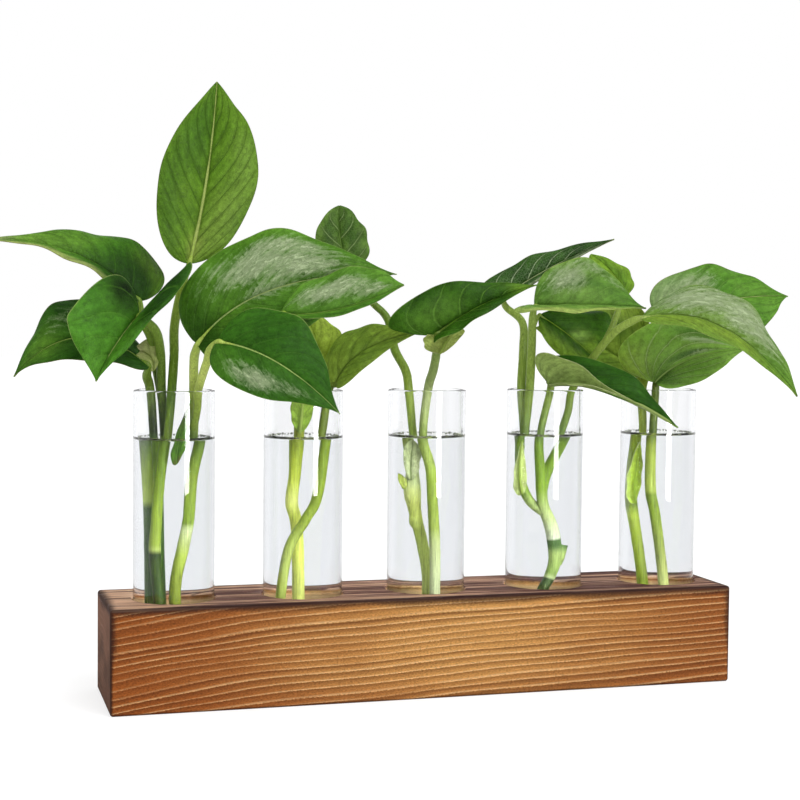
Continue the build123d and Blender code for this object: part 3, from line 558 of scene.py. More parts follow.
class LeafLook(bpy.types.PropertyGroup):
    """The cuttings' leaves."""
    rows: count("Rows", "Faces along each blade", 96)
    columns: count("Columns", "Faces across each half of a blade", 24)
    thickness: size("Thickness", "The blade's thickness between its veins", 0.5 * MM)
    vein_count: count("Side Veins", "Side veins on each half of a long blade", 9)
    pillow_height: size("Pillows", "How far the blade swells between its side veins", 0.4 * MM)
    groove_depth: size("Groove", "How deep the midrib lies", 0.5 * MM)
    rib_height: size("Rib", "How far the midrib stands out underneath", 0.8 * MM)
    wave_height: size("Waves", "How far the edge waves up and down", 0.8 * MM)
    lump_height: size("Lumps", "How uneven the blade is", 0.35 * MM)


class StageLook(bpy.types.PropertyGroup):
    """The floor, light and camera."""
    floor_reach: size("Floor Reach", "Half the floor's width", 6.0)
    floor_tone: tone("Floor", "The floor's colour", 250, 250, 250)
    ambient: amount("Soft Light", "Light from all round", 0.68)
    front_gloss: share("Front Gloss", "How bright the room in front of the vase is in mirror images", 0.2)
    sun_power: amount("Main Lamp", "Light from the main lamp", 1.35)
    strip_power: amount("Strip Lamp", "Power of the tall lamp that the glass shows as a white band", 4.4)


LOOKS = {"vase_wood": WoodLook, "vase_glass": GlassLook, "vase_water": WaterLook, "vase_stem": StemLook,
         "vase_leaf": LeafLook, "vase_stage": StageLook}


class Term:
    """A socket of a node. Arithmetic on it adds Math nodes."""

    def __init__(self, finish, socket):
        self.finish = finish
        self.socket = socket

    def also(self, output):
        """Another output of the same node."""
        return Term(self.finish, self.socket.node.outputs[output])

    def __add__(self, other):
        return self.finish.sum("ADD", self, other)

    def __sub__(self, other):
        return self.finish.sum("SUBTRACT", self, other)

    def __rsub__(self, other):
        return self.finish.sum("SUBTRACT", other, self)

    def __mul__(self, other):
        return self.finish.sum("MULTIPLY", self, other)

    def __truediv__(self, other):
        return self.finish.sum("DIVIDE", self, other)

    def __abs__(self):
        return self.finish.sum("ABSOLUTE", self)

    __radd__ = __add__
    __rmul__ = __mul__


class Finish:
    """The nodes of one material or of the world."""

    def __init__(self, tree, output_kind="OutputMaterial"):
        self.tree = tree
        tree.nodes.clear()
        self.output = tree.nodes.new("ShaderNode" + output_kind)

    def node(self, kind, settings=None, values=None, output=0):
        """Adds a node: its settings first, such as a Math node's operation, then its sockets."""
        node = self.tree.nodes.new("ShaderNode" + kind)
        for name, value in (settings or {}).items():
            setattr(node, name, value)
        for name, value in (values or {}).items():
            self.feed(node.inputs[name], value)
        return Term(self, node.outputs[output])

    def feed(self, socket, value):
        """Links a term to a socket, or sets its value."""
        if isinstance(value, Term):
            self.tree.links.new(value.socket, socket)
        elif socket.type == "RGBA":
            socket.default_value = (*value[:3], 1)
        else:
            socket.default_value = value

    def sum(self, operation, *terms):
        """A Math node on values or terms."""
        return self.node("Math", {"operation": operation}, dict(enumerate(terms)))

    def mix(self, factor, first, second):
        """A blend from the first colour to the second."""
        ends = {0: factor, 6: first, 7: second}
        return self.node("Mix", {"data_type": "RGBA", "clamp_factor": True}, ends, 2)

    def scaled(self, colour, factor):
        """A colour made lighter or darker."""
        return self.node("VectorMath", {"operation": "SCALE"}, {0: colour, "Scale": factor})

    def axes(self, vector):
        """A vector's three parts."""
        first = self.node("SeparateXYZ", None, {0: vector})
        return first, first.also(1), first.also(2)

    def joined(self, x, y, z):
        """A vector from its three parts."""
        return self.node("CombineXYZ", None, {0: x, 1: y, 2: z})

    def millimetres(self):
        """The place in the object's own frame, in millimetres."""
        return self.scaled(self.node("TexCoord", None, None, "Object"), 1 / MM)

    def step(self, value, low, high, start=0.0, end=1.0):
        """A smooth step from start at the low value to end at the high one."""
        return self.node("MapRange", {"interpolation_type": "SMOOTHSTEP"},
                         {0: value, 1: low, 2: high, 3: start, 4: end})

    def grain(self, place, scale=1.0, detail=2.0, roughness=0.5):
        """Smooth noise from 0 to 1."""
        return self.node("TexNoise", None, {"Vector": place, "Scale": scale, "Detail": detail,
                                            "Roughness": roughness})

    def streaks(self, axes, scales, detail=2.0, roughness=0.5):
        """Smooth noise drawn out along the axes that have a small scale."""
        place = self.joined(*(axis * scale for axis, scale in zip(axes, scales)))
        return self.grain(place, 1.0, detail, roughness)

    def attribute(self, name, output="Fac"):
        """A value that the mesh carries."""
        return self.node("Attribute", {"attribute_name": name}, None, output)

    def raised(self, height, distance, strength):
        """The surface's direction with a relief on it."""
        return self.node("Bump", None, {"Strength": strength, "Distance": distance, "Height": height})

    def skin(self, colour, roughness, normal, specular):
        """Sets a solid shader as the one that shows."""
        self.finished(self.node("BsdfPrincipled", None, {"Base Color": colour, "Roughness": roughness,
                                                         "Normal": normal, "Specular IOR Level": specular}))

    def blend(self, factor, first, second):
        """A blend from the first shader to the second."""
        return self.node("MixShader", None, {0: factor, 1: first, 2: second})

    def finished(self, surface, volume=None):
        """Sets the shader that shows, and what fills it."""
        self.feed(self.output.inputs["Surface"], surface)
        if volume:
            self.feed(self.output.inputs["Volume"], volume)


def new_material(name):
    """A new material and its nodes."""
    material = bpy.data.materials.new(name)
    material.use_nodes = True
    return material, Finish(material.node_tree)


def own_tube(name):
    """The number of the tube that a stem or leaf stands in, as its name gives it."""
    return int(name.split("_")[1])


def rim_middle(tube_number):
    """The middle of a tube's rim."""
    low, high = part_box(f"glass_tube_{tube_number}")
    return Vector(((low.x + high.x) / 2, (low.y + high.y) / 2, high.z))


def bore_radius(tube_number):
    """The radius of a tube's inside."""
    low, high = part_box(f"glass_tube_{tube_number}")
    return (high.x - low.x) / 2 - TUBE_WALL


def round_about(middle, radius, turn, height):
    """A place at a height on the upright cylinder round middle."""
    return middle.x + radius * math.cos(turn), middle.y + radius * math.sin(turn), height


def spray_place(tube_number, shares):
    """A place above the block, from its shares of SPRAY_REACH."""
    return rim_middle(tube_number) + Vector(shares[:3]) * SPRAY_REACH


def stem_place(tube_number, shares):
    """A place on a stem, inside its tube where the third share is negative."""
    if shares[2] < 0:
        return rim_middle(tube_number) + Vector((shares[0] * STEM_ROOM, shares[1] * STEM_ROOM,
                                                 shares[2] * STEM_DROP))
    return spray_place(tube_number, shares)


def new_object(name, data):
    """Puts a mesh, lamp or camera in the scene as a new object."""
    piece = bpy.data.objects.new(name, data)
    bpy.context.scene.collection.objects.link(piece)
    return piece


def block_reach():
    """Half the block's length, half its depth, and its height, in millimetres."""
    return [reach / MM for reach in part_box("wood_block")[1]]


def torched_pine(look):
    """Torched and brushed pine: thin pale lines over brown rings, dark at the edges, ends and top."""
    material, wood = new_material("torched_pine")
    x, y, z = place = wood.axes(wood.millimetres())
    half_length, _, height = block_reach()
    fibre = wood.streaks(place, (0.09, 2.4, 2.4), detail=3.0, roughness=0.6)
    speckle = wood.streaks(place, (1.1, 2.6, 2.6), detail=4.0, roughness=0.85)
    patch = wood.streaks(place, (0.03, 0.06, 0.09))
    colour, line = ringed_pine(wood, look, place, fibre, speckle, patch)
    ends = wood.step(patch + z / height * 0.4, 0.4, 0.9)
    ends = wood.scaled(look.end_tone, (speckle - 0.5) * 0.8 + ends + 0.8)
    ends = wood.mix(line * 0.35, ends, look.body_tone)
    top = scorched_top(wood, look, place, fibre, patch)
    colour = wood.mix(wood.step(z, height - 1.0, height - 0.3), colour, top)
    colour = wood.mix(wood.step(abs(x), half_length - 0.8, half_length - 0.2), colour, ends)
    colour = wood.mix(burnt_edge(wood, look, place, speckle, patch), colour, look.char_tone)
    raw = wood.scaled(look.raw_tone, (fibre - 0.5) * 0.6 + (speckle - 0.5) * 0.4 + 1.0)
    inside = in_socket(wood, x, y, look.socket_radius / MM) * wood.step(z, height - 1.5, height - 3.0)
    colour = wood.mix(inside, colour, raw)
    normal = wood.raised(line * 0.35 + fibre * 0.4 + speckle * 0.3, look.relief, strength=0.8)
    wood.skin(colour, wood.step(line + fibre * 0.4, 0.1, 1.0, 0.75, 0.58), normal, specular=0.08)
    return material


def ringed_pine(wood, look, place, fibre, speckle, patch):
    """The colour of the long faces, whose rings run round a pith far below, and their pale lines alone."""
    x, y, z = place
    pith_depth, pith_back = 70.0, 10.0
    gold_middle, gold_reach = 12.0, 72.0
    sweep = wood.streaks(place, (0.011, 0.04, 0.05), detail=1.0)
    rise = x * 0.034 - wood.sum("EXPONENT", (x + block_reach()[0]) * -0.022) * 6.5 + (sweep - 0.5) * 5.0
    depth = z - rise + pith_depth
    behind = y - pith_back
    ring = wood.sum("SQRT", depth * depth + behind * behind) / (look.ring_spacing / MM)
    ring = ring + wood.grain(wood.joined(0.0, 0.0, ring * 0.55), detail=1.0) * 1.3
    part = wood.sum("FRACT", ring + (speckle - 0.5) * 0.3 + (fibre - 0.5) * 0.12)
    odd = wood.node("TexWhiteNoise", {"noise_dimensions": "1D"}, {"W": wood.sum("FLOOR", ring)})
    from_gold = (x - gold_middle + (patch - 0.5) * 50.0) / gold_reach
    golden = wood.sum("EXPONENT", from_gold * from_gold * -1.0) * wood.step(z, 0.0, 12.0, 0.55, 1.0)
    body = wood.mix(golden, look.body_tone, look.gold_tone)
    body = wood.mix(wood.step(part, 0.35, 0.95) * (odd * 0.35 + 0.38), body, look.dark_tone)
    fade = wood.step(patch + odd * 0.5, 0.45, 0.8, 0.4, 1.0)
    line = wood.step(part, 0.08, 0.34, 1.0, 0.0) * wood.step(part, 0.0, 0.1) * fade
    front = wood.mix(line * (golden * 0.25 + 0.6), body, look.line_tone)
    return wood.scaled(front, (fibre - 0.5) * 0.5 + (speckle - 0.5) * 3.2 + 1.0), line


def scorched_top(wood, look, place, fibre, patch):
    """The colour of the top: pale and burnt streaks along it, paler towards its left end."""
    streaks = wood.streaks(place, (0.014, 0.62, 0.2), detail=4.0, roughness=0.7)
    bare = wood.step(place[0] + block_reach()[0], 50.0, 5.0) * 0.12
    top = wood.mix(wood.step(streaks + bare, 0.47, 0.6) * 0.75, look.top_tone, look.streak_tone)
    top = wood.mix(wood.step(streaks, 0.5, 0.36) * 0.6, top, look.char_tone)
    return wood.scaled(top, (fibre - 0.5) * 1.2 + (patch - 0.5) * 0.8 + 1.0)


def burnt_edge(wood, look, place, speckle, patch):
    """How charred each place is, from how near it lies to one of the block's edges."""
    half_length, half_depth, height = block_reach()
    from_end = half_length - abs(place[0])
    from_side = half_depth - abs(place[1])
    from_face = wood.sum("MINIMUM", place[2], height - place[2])
    nearer = wood.sum("MINIMUM", from_end, from_side)
    farther = wood.sum("MAXIMUM", from_end, from_side)
    from_edge = wood.sum("MAXIMUM", nearer, wood.sum("MINIMUM", farther, from_face))
    reach = (patch * 2.4 + 0.1) * (look.char_width / MM) * wood.step(place[2], 4.0, 34.0, 0.35, 1.0)
    return wood.step(from_edge / reach + (speckle - 0.5) * 0.6, 0.2, 1.3, 0.85, 0.0)


def in_socket(wood, x, y, radius):
    """1 within a radius of any tube's middle, in millimetres, and 0 elsewhere."""
    nearest = None
    for tube_number in TUBES:
        middle = rim_middle(tube_number) / MM
        aside, back = x - middle.x, y - middle.y
        reach = aside * aside + back * back
        nearest = wood.sum("MINIMUM", nearest, reach) if nearest else reach
    return wood.step(nearest, radius ** 2 + 4.0, radius ** 2, 0.0, 1.0)


def see_through(name, look):
    """A clear material that lets the lamps through, with the tint that fills it."""
    material, finish = new_material(name)
    clear = finish.node("BsdfPrincipled", None, {"Base Color": WHITE, "Roughness": 0.0, "IOR": look.ior,
                                                 "Transmission Weight": 1.0})
    open_way = finish.node("BsdfTransparent", None, {"Color": OPEN_WAY_COLOUR})
    in_shadow = finish.node("LightPath", None, None, "Is Shadow Ray")
    volume = finish.node("VolumeAbsorption", None, {"Color": look.tint, "Density": look.tint_strength})
    finish.finished(finish.blend(in_shadow, clear, open_way), volume)
    return material


def shaded_bubble_film(look):
    """The bubbles' thin skin, grey where they crowd the glass: painted shade for the dark line at the water's
    edge.
    """
    material, film = new_material("shaded_bubble_film")
    grey = film.node("BsdfPrincipled", None, {"Base Color": look.bubble_shade_tone, "Roughness": 0.15})
    clear = film.node("BsdfTransparent", None, {"Color": OPEN_WAY_COLOUR})
    film.finished(film.blend(0.55, clear, grey))
    return material


def leaf_skin():
    """A waxy leaf: painted colours, a thin midrib and side veins, and a painted silver highlight broken by
    fine creases.
    """
    material, leaf = new_material("leaf_green")
    place = leaf.millimetres()
    run, out, from_rib = leaf.axes(leaf.attribute("flow", "Vector"))
    mottle = leaf.grain(place, 0.55, detail=4.0, roughness=0.7)
    fine = leaf.grain(place, 2.6, detail=3.0, roughness=0.7)
    streak = leaf.grain(leaf.joined(run * 2.6, out * 2.2, 0.0), detail=3.0, roughness=0.65)
    crease_run = run * 5.0 + (mottle - 0.5) * 6.0
    crease = leaf.grain(leaf.joined(crease_run, out * 9.0, 3.0), detail=3.0, roughness=0.6)
    run = run + (mottle - 0.5) * 0.12
    from_vein = 0.5 - abs(leaf.sum("FRACT", run) - 0.5)
    veins = leaf.attribute("vein_paint", "Color")
    strength = veins.also("Alpha")
    rib = leaf.attribute("rib_paint", "Color")
    rib_line = leaf.step(from_rib / rib.also("Alpha") + (fine - 0.5) * 0.4, 0.4, 0.9, 1.0, 0.0)
    rib_shade = leaf.step(from_rib / rib.also("Alpha"), 0.5, 3.0, 1.0, 0.0)
    net = leaf.node("TexVoronoi", {"feature": "DISTANCE_TO_EDGE"}, {"Vector": place, "Scale": 1.1})
    cell = leaf.step(net, 0.0, 0.16)
    vein = leaf.step(from_vein + (fine - 0.5) * 0.03, 0.012, 0.06, 1.0, 0.0)
    vein = vein * leaf.step(mottle, 0.3, 0.6, 0.4, 1.0)
    beside = leaf.step(from_vein, 0.02, 0.3, 1.0, 0.0)
    light = streak * 1.1 + mottle * 1.3 + crease * 0.8 + fine * 0.6 - 0.9
    colour = leaf.scaled(leaf.attribute("paint", "Color"), light * (1.0 - beside * strength * 0.35))
    colour = leaf.scaled(colour, 1.0 - rib_shade * 0.25)
    colour = leaf.mix((1.0 - cell) * 0.2 * strength, colour, veins)
    colour = leaf.mix(vein * strength, colour, veins)
    fold = leaf.step(abs(crease - 0.5), 0.0, 0.06, 0.7, 1.0)
    # Painted highlight: silver painted into the colour where the blade's highlight spots lie, dimmed along
    # crease lines, with a crumpled relief and less roughness
    painted_sheen = leaf.attribute("painted_sheen")
    painted_sheen_mask = painted_sheen + (streak - 0.5) * 1.3 + (mottle - 0.5) * 0.9 + (crease - 0.5) * 0.9
    painted_sheen_mask = leaf.step(painted_sheen_mask, 0.25, 1.1) * leaf.step(painted_sheen, 0.0, 0.3) * fold
    colour = leaf.mix(painted_sheen_mask, colour, chart(*PAINTED_SHEEN_TONE))
    colour = leaf.mix(rib_line * 0.9, colour, rib)
    height = cell * 0.2 + mottle * 0.8 + fine * 0.2 + fold * (painted_sheen_mask + 0.15) * 1.2 - vein * 0.5 - rib_line * 0.4
    roughness = leaf.attribute("gloss") + (mottle - 0.5) * 0.25 - painted_sheen_mask * 0.1
    leaf.skin(colour, roughness, leaf.raised(height, 0.3 * MM, strength=0.9), specular=0.05)
    return material


def stem_skin():
    """A living stem: painted colours, fine streaks along it and small pale and dark flecks."""
    material, stem = new_material("stem_green")
    place = stem.axes(stem.millimetres())
    streak = stem.streaks(place, (2.0, 2.0, 0.1), detail=3.0, roughness=0.65)
    fleck = stem.streaks(place, (2.2, 2.2, 1.4), roughness=0.6)
    colour = stem.scaled(stem.attribute("paint", "Color"), streak * 1.5 + fleck * 0.3 + 0.1)
    for pattern, low, high, most, mark in ((streak, 0.62, 0.76, 0.45, (206, 216, 140)),
                                           (streak, 0.36, 0.26, 0.5, (50, 66, 16)),
                                           (fleck, 0.66, 0.78, 0.4, (206, 214, 150)),
                                           (fleck, 0.3, 0.2, 0.45, (74, 84, 30))):
        colour = stem.mix(stem.step(pattern, low, high) * most, colour, chart(*mark))
    normal = stem.raised(streak * 0.8 + fleck * 0.3, 0.2 * MM, strength=0.7)
    stem.skin(colour, streak * 0.2 + 0.34, normal, specular=0.18)
    return material


def water_body(look, tube_number):
    """The water in one tube: a turned form that climbs the glass at its edge."""
    bore = bore_radius(tube_number)
    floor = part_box(f"glass_tube_{tube_number}")[0].z + TUBE_FLOOR - look.glass_overlap
    edge = bore + look.glass_overlap
    top = look.surface_height + look.climb
    bevel = 0.1 * MM
    profile = [(0.0, floor), (edge - bevel, floor), (edge, floor), (edge, floor + bevel), (edge, top - bevel),
               (edge, top)]
    for inset in CLIMB_INSETS:
        profile.append((bore - inset * MM, look.surface_height + look.climb * math.exp(-inset / CLIMB_REACH)))
    profile.append((0.0, look.surface_height))
    return turned(f"water_{tube_number}", profile, rim_middle(tube_number), sides=96)


def turned(name, profile, middle, sides):
    """A closed form turned about the upright axis through middle, from its (radius, height) profile."""
    places = [(middle.x, middle.y, profile[0][1])]
    faces = []
    for radius, height in profile[1:-1]:
        for number in range(sides):
            places.append(round_about(middle, radius, 2 * math.pi * number / sides, height))
    places.append((middle.x, middle.y, profile[-1][1]))
    last = 1 + (len(profile) - 3) * sides
    for number in range(sides):
        following = (number + 1) % sides
        faces.append((0, 1 + following, 1 + number))
        for start in range(1, last, sides):
            above = start + sides
            faces.append((start + number, start + following, above + following, above + number))
        faces.append((len(places) - 1, last + number, last + following))
    mesh = bpy.data.meshes.new(name)
    mesh.from_pydata(places, [], faces)
    mesh.shade_smooth()
    return new_object(name, mesh)


class Tree:
    """A Geometry Nodes tree with named inputs, used on one object and then made a plain mesh."""

    def __init__(self, name, inputs):
        self.tree = bpy.data.node_groups.new(name, "GeometryNodeTree")
        self.tree.interface.new_socket("Geometry", in_out="OUTPUT", socket_type="NodeSocketGeometry")
        self.tree.interface.new_socket("Geometry", in_out="INPUT", socket_type="NodeSocketGeometry")
        self.keys = {}
        for label, kind in inputs.items():
            socket = self.tree.interface.new_socket(label, in_out="INPUT", socket_type="NodeSocket" + kind)
            self.keys[label] = socket.identifier
        self.start = self.tree.nodes.new("NodeGroupInput")
        self.end = self.tree.nodes.new("NodeGroupOutput")

    def value(self, label):
        """The output of one of the tree's own inputs."""
        return self.start.outputs[label]

    def node(self, kind, settings=None, values=None, output=0):
        """Adds a node: its settings first, then the values or links of its sockets."""
        node = self.tree.nodes.new(kind)
        for name, value in (settings or {}).items():
            setattr(node, name, value)
        for name, value in (values or {}).items():
            if isinstance(value, bpy.types.NodeSocket):
                self.tree.links.new(value, node.inputs[name])
            else:
                node.inputs[name].default_value = value
        return node.outputs[output]

    def sum(self, operation, *terms):
        """A Math node on values or links."""
        return self.node("ShaderNodeMath", {"operation": operation}, dict(enumerate(terms)))

    def random(self, low, high, values):
        """A random number from low to high for each point, from a fixed seed."""
        return self.node("FunctionNodeRandomValue", {"data_type": "FLOAT"}, {2: low, 3: high, **values}, 1)

    def moved(self, geometry, offset):
        """Geometry with its points moved."""
        return self.node("GeometryNodeSetPosition", None, {"Geometry": geometry, "Offset": offset})

    def smooth(self, geometry):
        """Geometry that is shaded smooth."""
        return self.node("GeometryNodeSetShadeSmooth", None, {"Geometry": geometry})

    def result(self, geometry, material):
        """Ends the tree in real geometry with its material."""
        real = self.node("GeometryNodeRealizeInstances", None, {"Geometry": geometry})
        faced = self.node("GeometryNodeSetMaterial", None, {"Geometry": real, "Material": material})
        self.tree.links.new(faced, self.end.inputs[0])

    def mesh_from(self, piece, values):
        """The plain mesh that the tree makes of an object's mesh with these input values."""
        modifier = piece.modifiers.new("tree", "NODES")
        modifier.node_group = self.tree
        for label, value in values.items():
            modifier[self.keys[label]] = value
        graph = bpy.context.evaluated_depsgraph_get()
        graph.update()
        mesh = bpy.data.meshes.new_from_object(piece.evaluated_get(graph), depsgraph=graph)
        piece.modifiers.remove(modifier)
        return mesh


def bubble_tree():
    """A ring of small bubbles, scattered a little, from a ring of points."""
    tree = Tree("bubble_ring", {"Radius": "Float", "Scatter": "Float", "Seed": "Int", "Material": "Material"})
    scatter, seed = tree.value("Scatter"), tree.value("Seed")
    bead = tree.node("GeometryNodeMeshIcoSphere", None, {"Radius": tree.value("Radius"), "Subdivisions": 2})
    width = tree.random(0.3, 1.0, {"Seed": seed})
    low = tree.sum("MULTIPLY", scatter, -1.0)
    index = tree.node("GeometryNodeInputIndex")
    offsets = {}
    for axis in range(3):
        key = tree.sum("MULTIPLY_ADD", index, 3.0, axis)
        offsets[axis] = tree.random(low, scatter, {"ID": key, "Seed": seed})
    spread = tree.moved(tree.value("Geometry"), tree.node("ShaderNodeCombineXYZ", None, offsets))
    points = tree.node("GeometryNodeMeshToPoints", None, {"Mesh": spread})
    beads = tree.node("GeometryNodeInstanceOnPoints", None, {"Points": points, "Instance": tree.smooth(bead),
                                                             "Scale": width})
    tree.result(beads, tree.value("Material"))
    return tree


def stem_tree():
    """Round stems along the lines of a mesh, as thick as its points say, with uneven skin."""
    tree = Tree("stem_skin", {"Sides": "Int", "Lumps": "Float", "Material": "Material"})
    line = tree.node("GeometryNodeMeshToCurve", None, {0: tree.value("Geometry")})
    ring = tree.node("GeometryNodeCurvePrimitiveCircle", None, {"Resolution": tree.value("Sides"), 4: 1.0})
    thick = tree.node("GeometryNodeInputNamedAttribute", {"data_type": "FLOAT"}, {"Name": "thick"})
    tube = tree.node("GeometryNodeCurveToMesh", None, {"Curve": line, "Profile Curve": ring, "Scale": thick,
                                                       "Fill Caps": True})
    place = tree.node("GeometryNodeInputPosition")
    bumps = tree.node("ShaderNodeTexNoise", None, {"Vector": place, "Scale": 420.0, "Detail": 2.0})
    level = tree.sum("MULTIPLY", tree.sum("SUBTRACT", bumps, 0.5), tree.value("Lumps"))
    outward = tree.node("GeometryNodeInputNormal")
    offset = tree.node("ShaderNodeVectorMath", {"operation": "SCALE"}, {0: outward, "Scale": level})
    tree.result(tree.smooth(tree.moved(tube, offset)), tree.value("Material"))
    return tree


def curve_through(before, start, end, after, part):
    """A smooth curve from start to end that heads on from the point before to the one after."""
    first = (end - before) * 0.5
    last = (after - start) * 0.5
    turn = (end - start) * 3 - first * 2 - last
    ease = (start - end) * 2 + first + last
    return start + first * part + turn * part ** 2 + ease * part ** 3


def leaf_at(foot_shares, tube_number):
    """The name of the leaf whose foot is at these shares, or None."""
    for name, shares in leaf_shares.items():
        if own_tube(name) == tube_number and shares[0] == tuple(foot_shares[:3]):
            return name
    return None


def branch_rings(look, tube_number, branch):
    """The middle and radius of each ring along one branch, and on along its leaf's midrib."""
    places = [stem_place(tube_number, shares) for shares in branch]
    radii = [(STEM_FOOT_RADIUS if shares[2] < 0 else STEM_RADIUS) * shares[3] for shares in branch]
    leaf = leaf_at(branch[-1], tube_number)
    if leaf:
        blade = Blade(leaf)
        for part, radius in STALK_TAPER:
            along = look.stalk_grip * part
            places.append(blade.rib(along) - blade.face_up(along) * STALK_DEPTH)
            radii.append(radius * MM)
    places = [places[0] * 2 - places[1]] + places + [places[-1] * 2 - places[-2]]
    radii = [radii[0]] + radii + [radii[-1]]
    rings = []
    for span in range(1, len(places) - 2):
        for step in range(look.steps):
            part = step / look.steps
            rings.append((curve_through(*places[span - 1:span + 3], part),
                          curve_through(*radii[span - 1:span + 3], part)))
    rings.append((places[-2], radii[-2]))
    return rings


def stop_colour(stops, height):
    """The colour at a height in millimetres, blended between the stops."""
    heights, *channels = zip(*((stop[0], *chart(*stop[1:])) for stop in stops))
    return [float(np.interp(height, heights, channel)) for channel in channels]


def stem_lines(look, name):
    """A stem's lines as a mesh of edges, with the thickness and colour of each point."""
    tube_number = own_tube(name)
    rim = rim_middle(tube_number).z
    places, edges, radii, colours = [], [], [], []
    for branch in stem_shares[name] + stub_shares.get(name, []):
        start = len(places)
        for middle, radius in branch_rings(look, tube_number, branch):
            places.append(middle)
            radii.append(radius)
            colours.append(stop_colour(stem_colours[name], (middle.z - rim) / MM))
        edges += [(number, number + 1) for number in range(start, len(places) - 1)]
    mesh = bpy.data.meshes.new(name)
    mesh.from_pydata(places, edges, [])
    put_value(mesh, "thick", radii)
    put_colour(mesh, "paint", colours, 1)
    return mesh


class Blade:
    """The middle surface of one leaf, worked out from its five places as its solid is."""

    def __init__(self, name):
        *corners, self.widest, self.lobes, self.tip_draw = blade_shares[name]
        self.foot, self.middle, self.tip, self.far, self.near = (
            spray_place(own_tube(name), shares) for shares in corners)
        self.widest_place = self.rib(self.widest)
        self.up_sign = -1 if (self.tip - self.foot).cross(self.far - self.near).z < 0 else 1
        self.length = (self.middle - self.foot).length + (self.tip - self.middle).length

    def rib(self, along):
        """A place on the midrib."""
        return (self.foot * ((1 - along) * (1 - 2 * along)) + self.middle * (4 * along * (1 - along))
                + self.tip * (along * (2 * along - 1)))

    def width(self, along):
        """The width there, as a share of the greatest."""
        if along < self.widest:
            return math.sqrt(1 - (1 - along / self.widest) ** 2)
        return math.cos(math.pi / 2 * (along - self.widest) / (1 - self.widest)) ** self.tip_draw

    def edges(self, along):
        """The far and near edge there."""
        width = self.width(along)
        back = max(0, 1 - along / self.widest)
        length = self.tip - self.foot
        return [self.rib(along) + (corner - self.widest_place) * width - length * (lobe * width * back)
                for corner, lobe in zip((self.far, self.near), self.lobes)]

    def face_up(self, along):
        """The direction that the blade's top faces there."""
        along = min(max(along, 0.02), 0.98)
        ahead = (self.middle - self.foot) * (3 - 4 * along) + (self.tip - self.middle) * (4 * along - 1)
        far, near = self.edges(along)
        return ahead.cross(far - near).normalized() * self.up_sign


def eased(places):
    """Even shares drawn closer together at both ends."""
    return places - 0.12 * np.sin(2 * math.pi * places)


def field_noise(places, scale, seed):
    """Smooth noise from -1 to 1 at each place, with features of about the given size."""
    flat = places.reshape(-1, 3) / scale
    values = [noise.noise(Vector(place) + Vector((seed, seed * 2, 0))) for place in flat]
    return np.array(values).reshape(places.shape[:-1])


def unit(vectors):
    """The same directions, one long."""
    return vectors / np.maximum(np.linalg.norm(vectors, axis=2, keepdims=True), 1e-12)


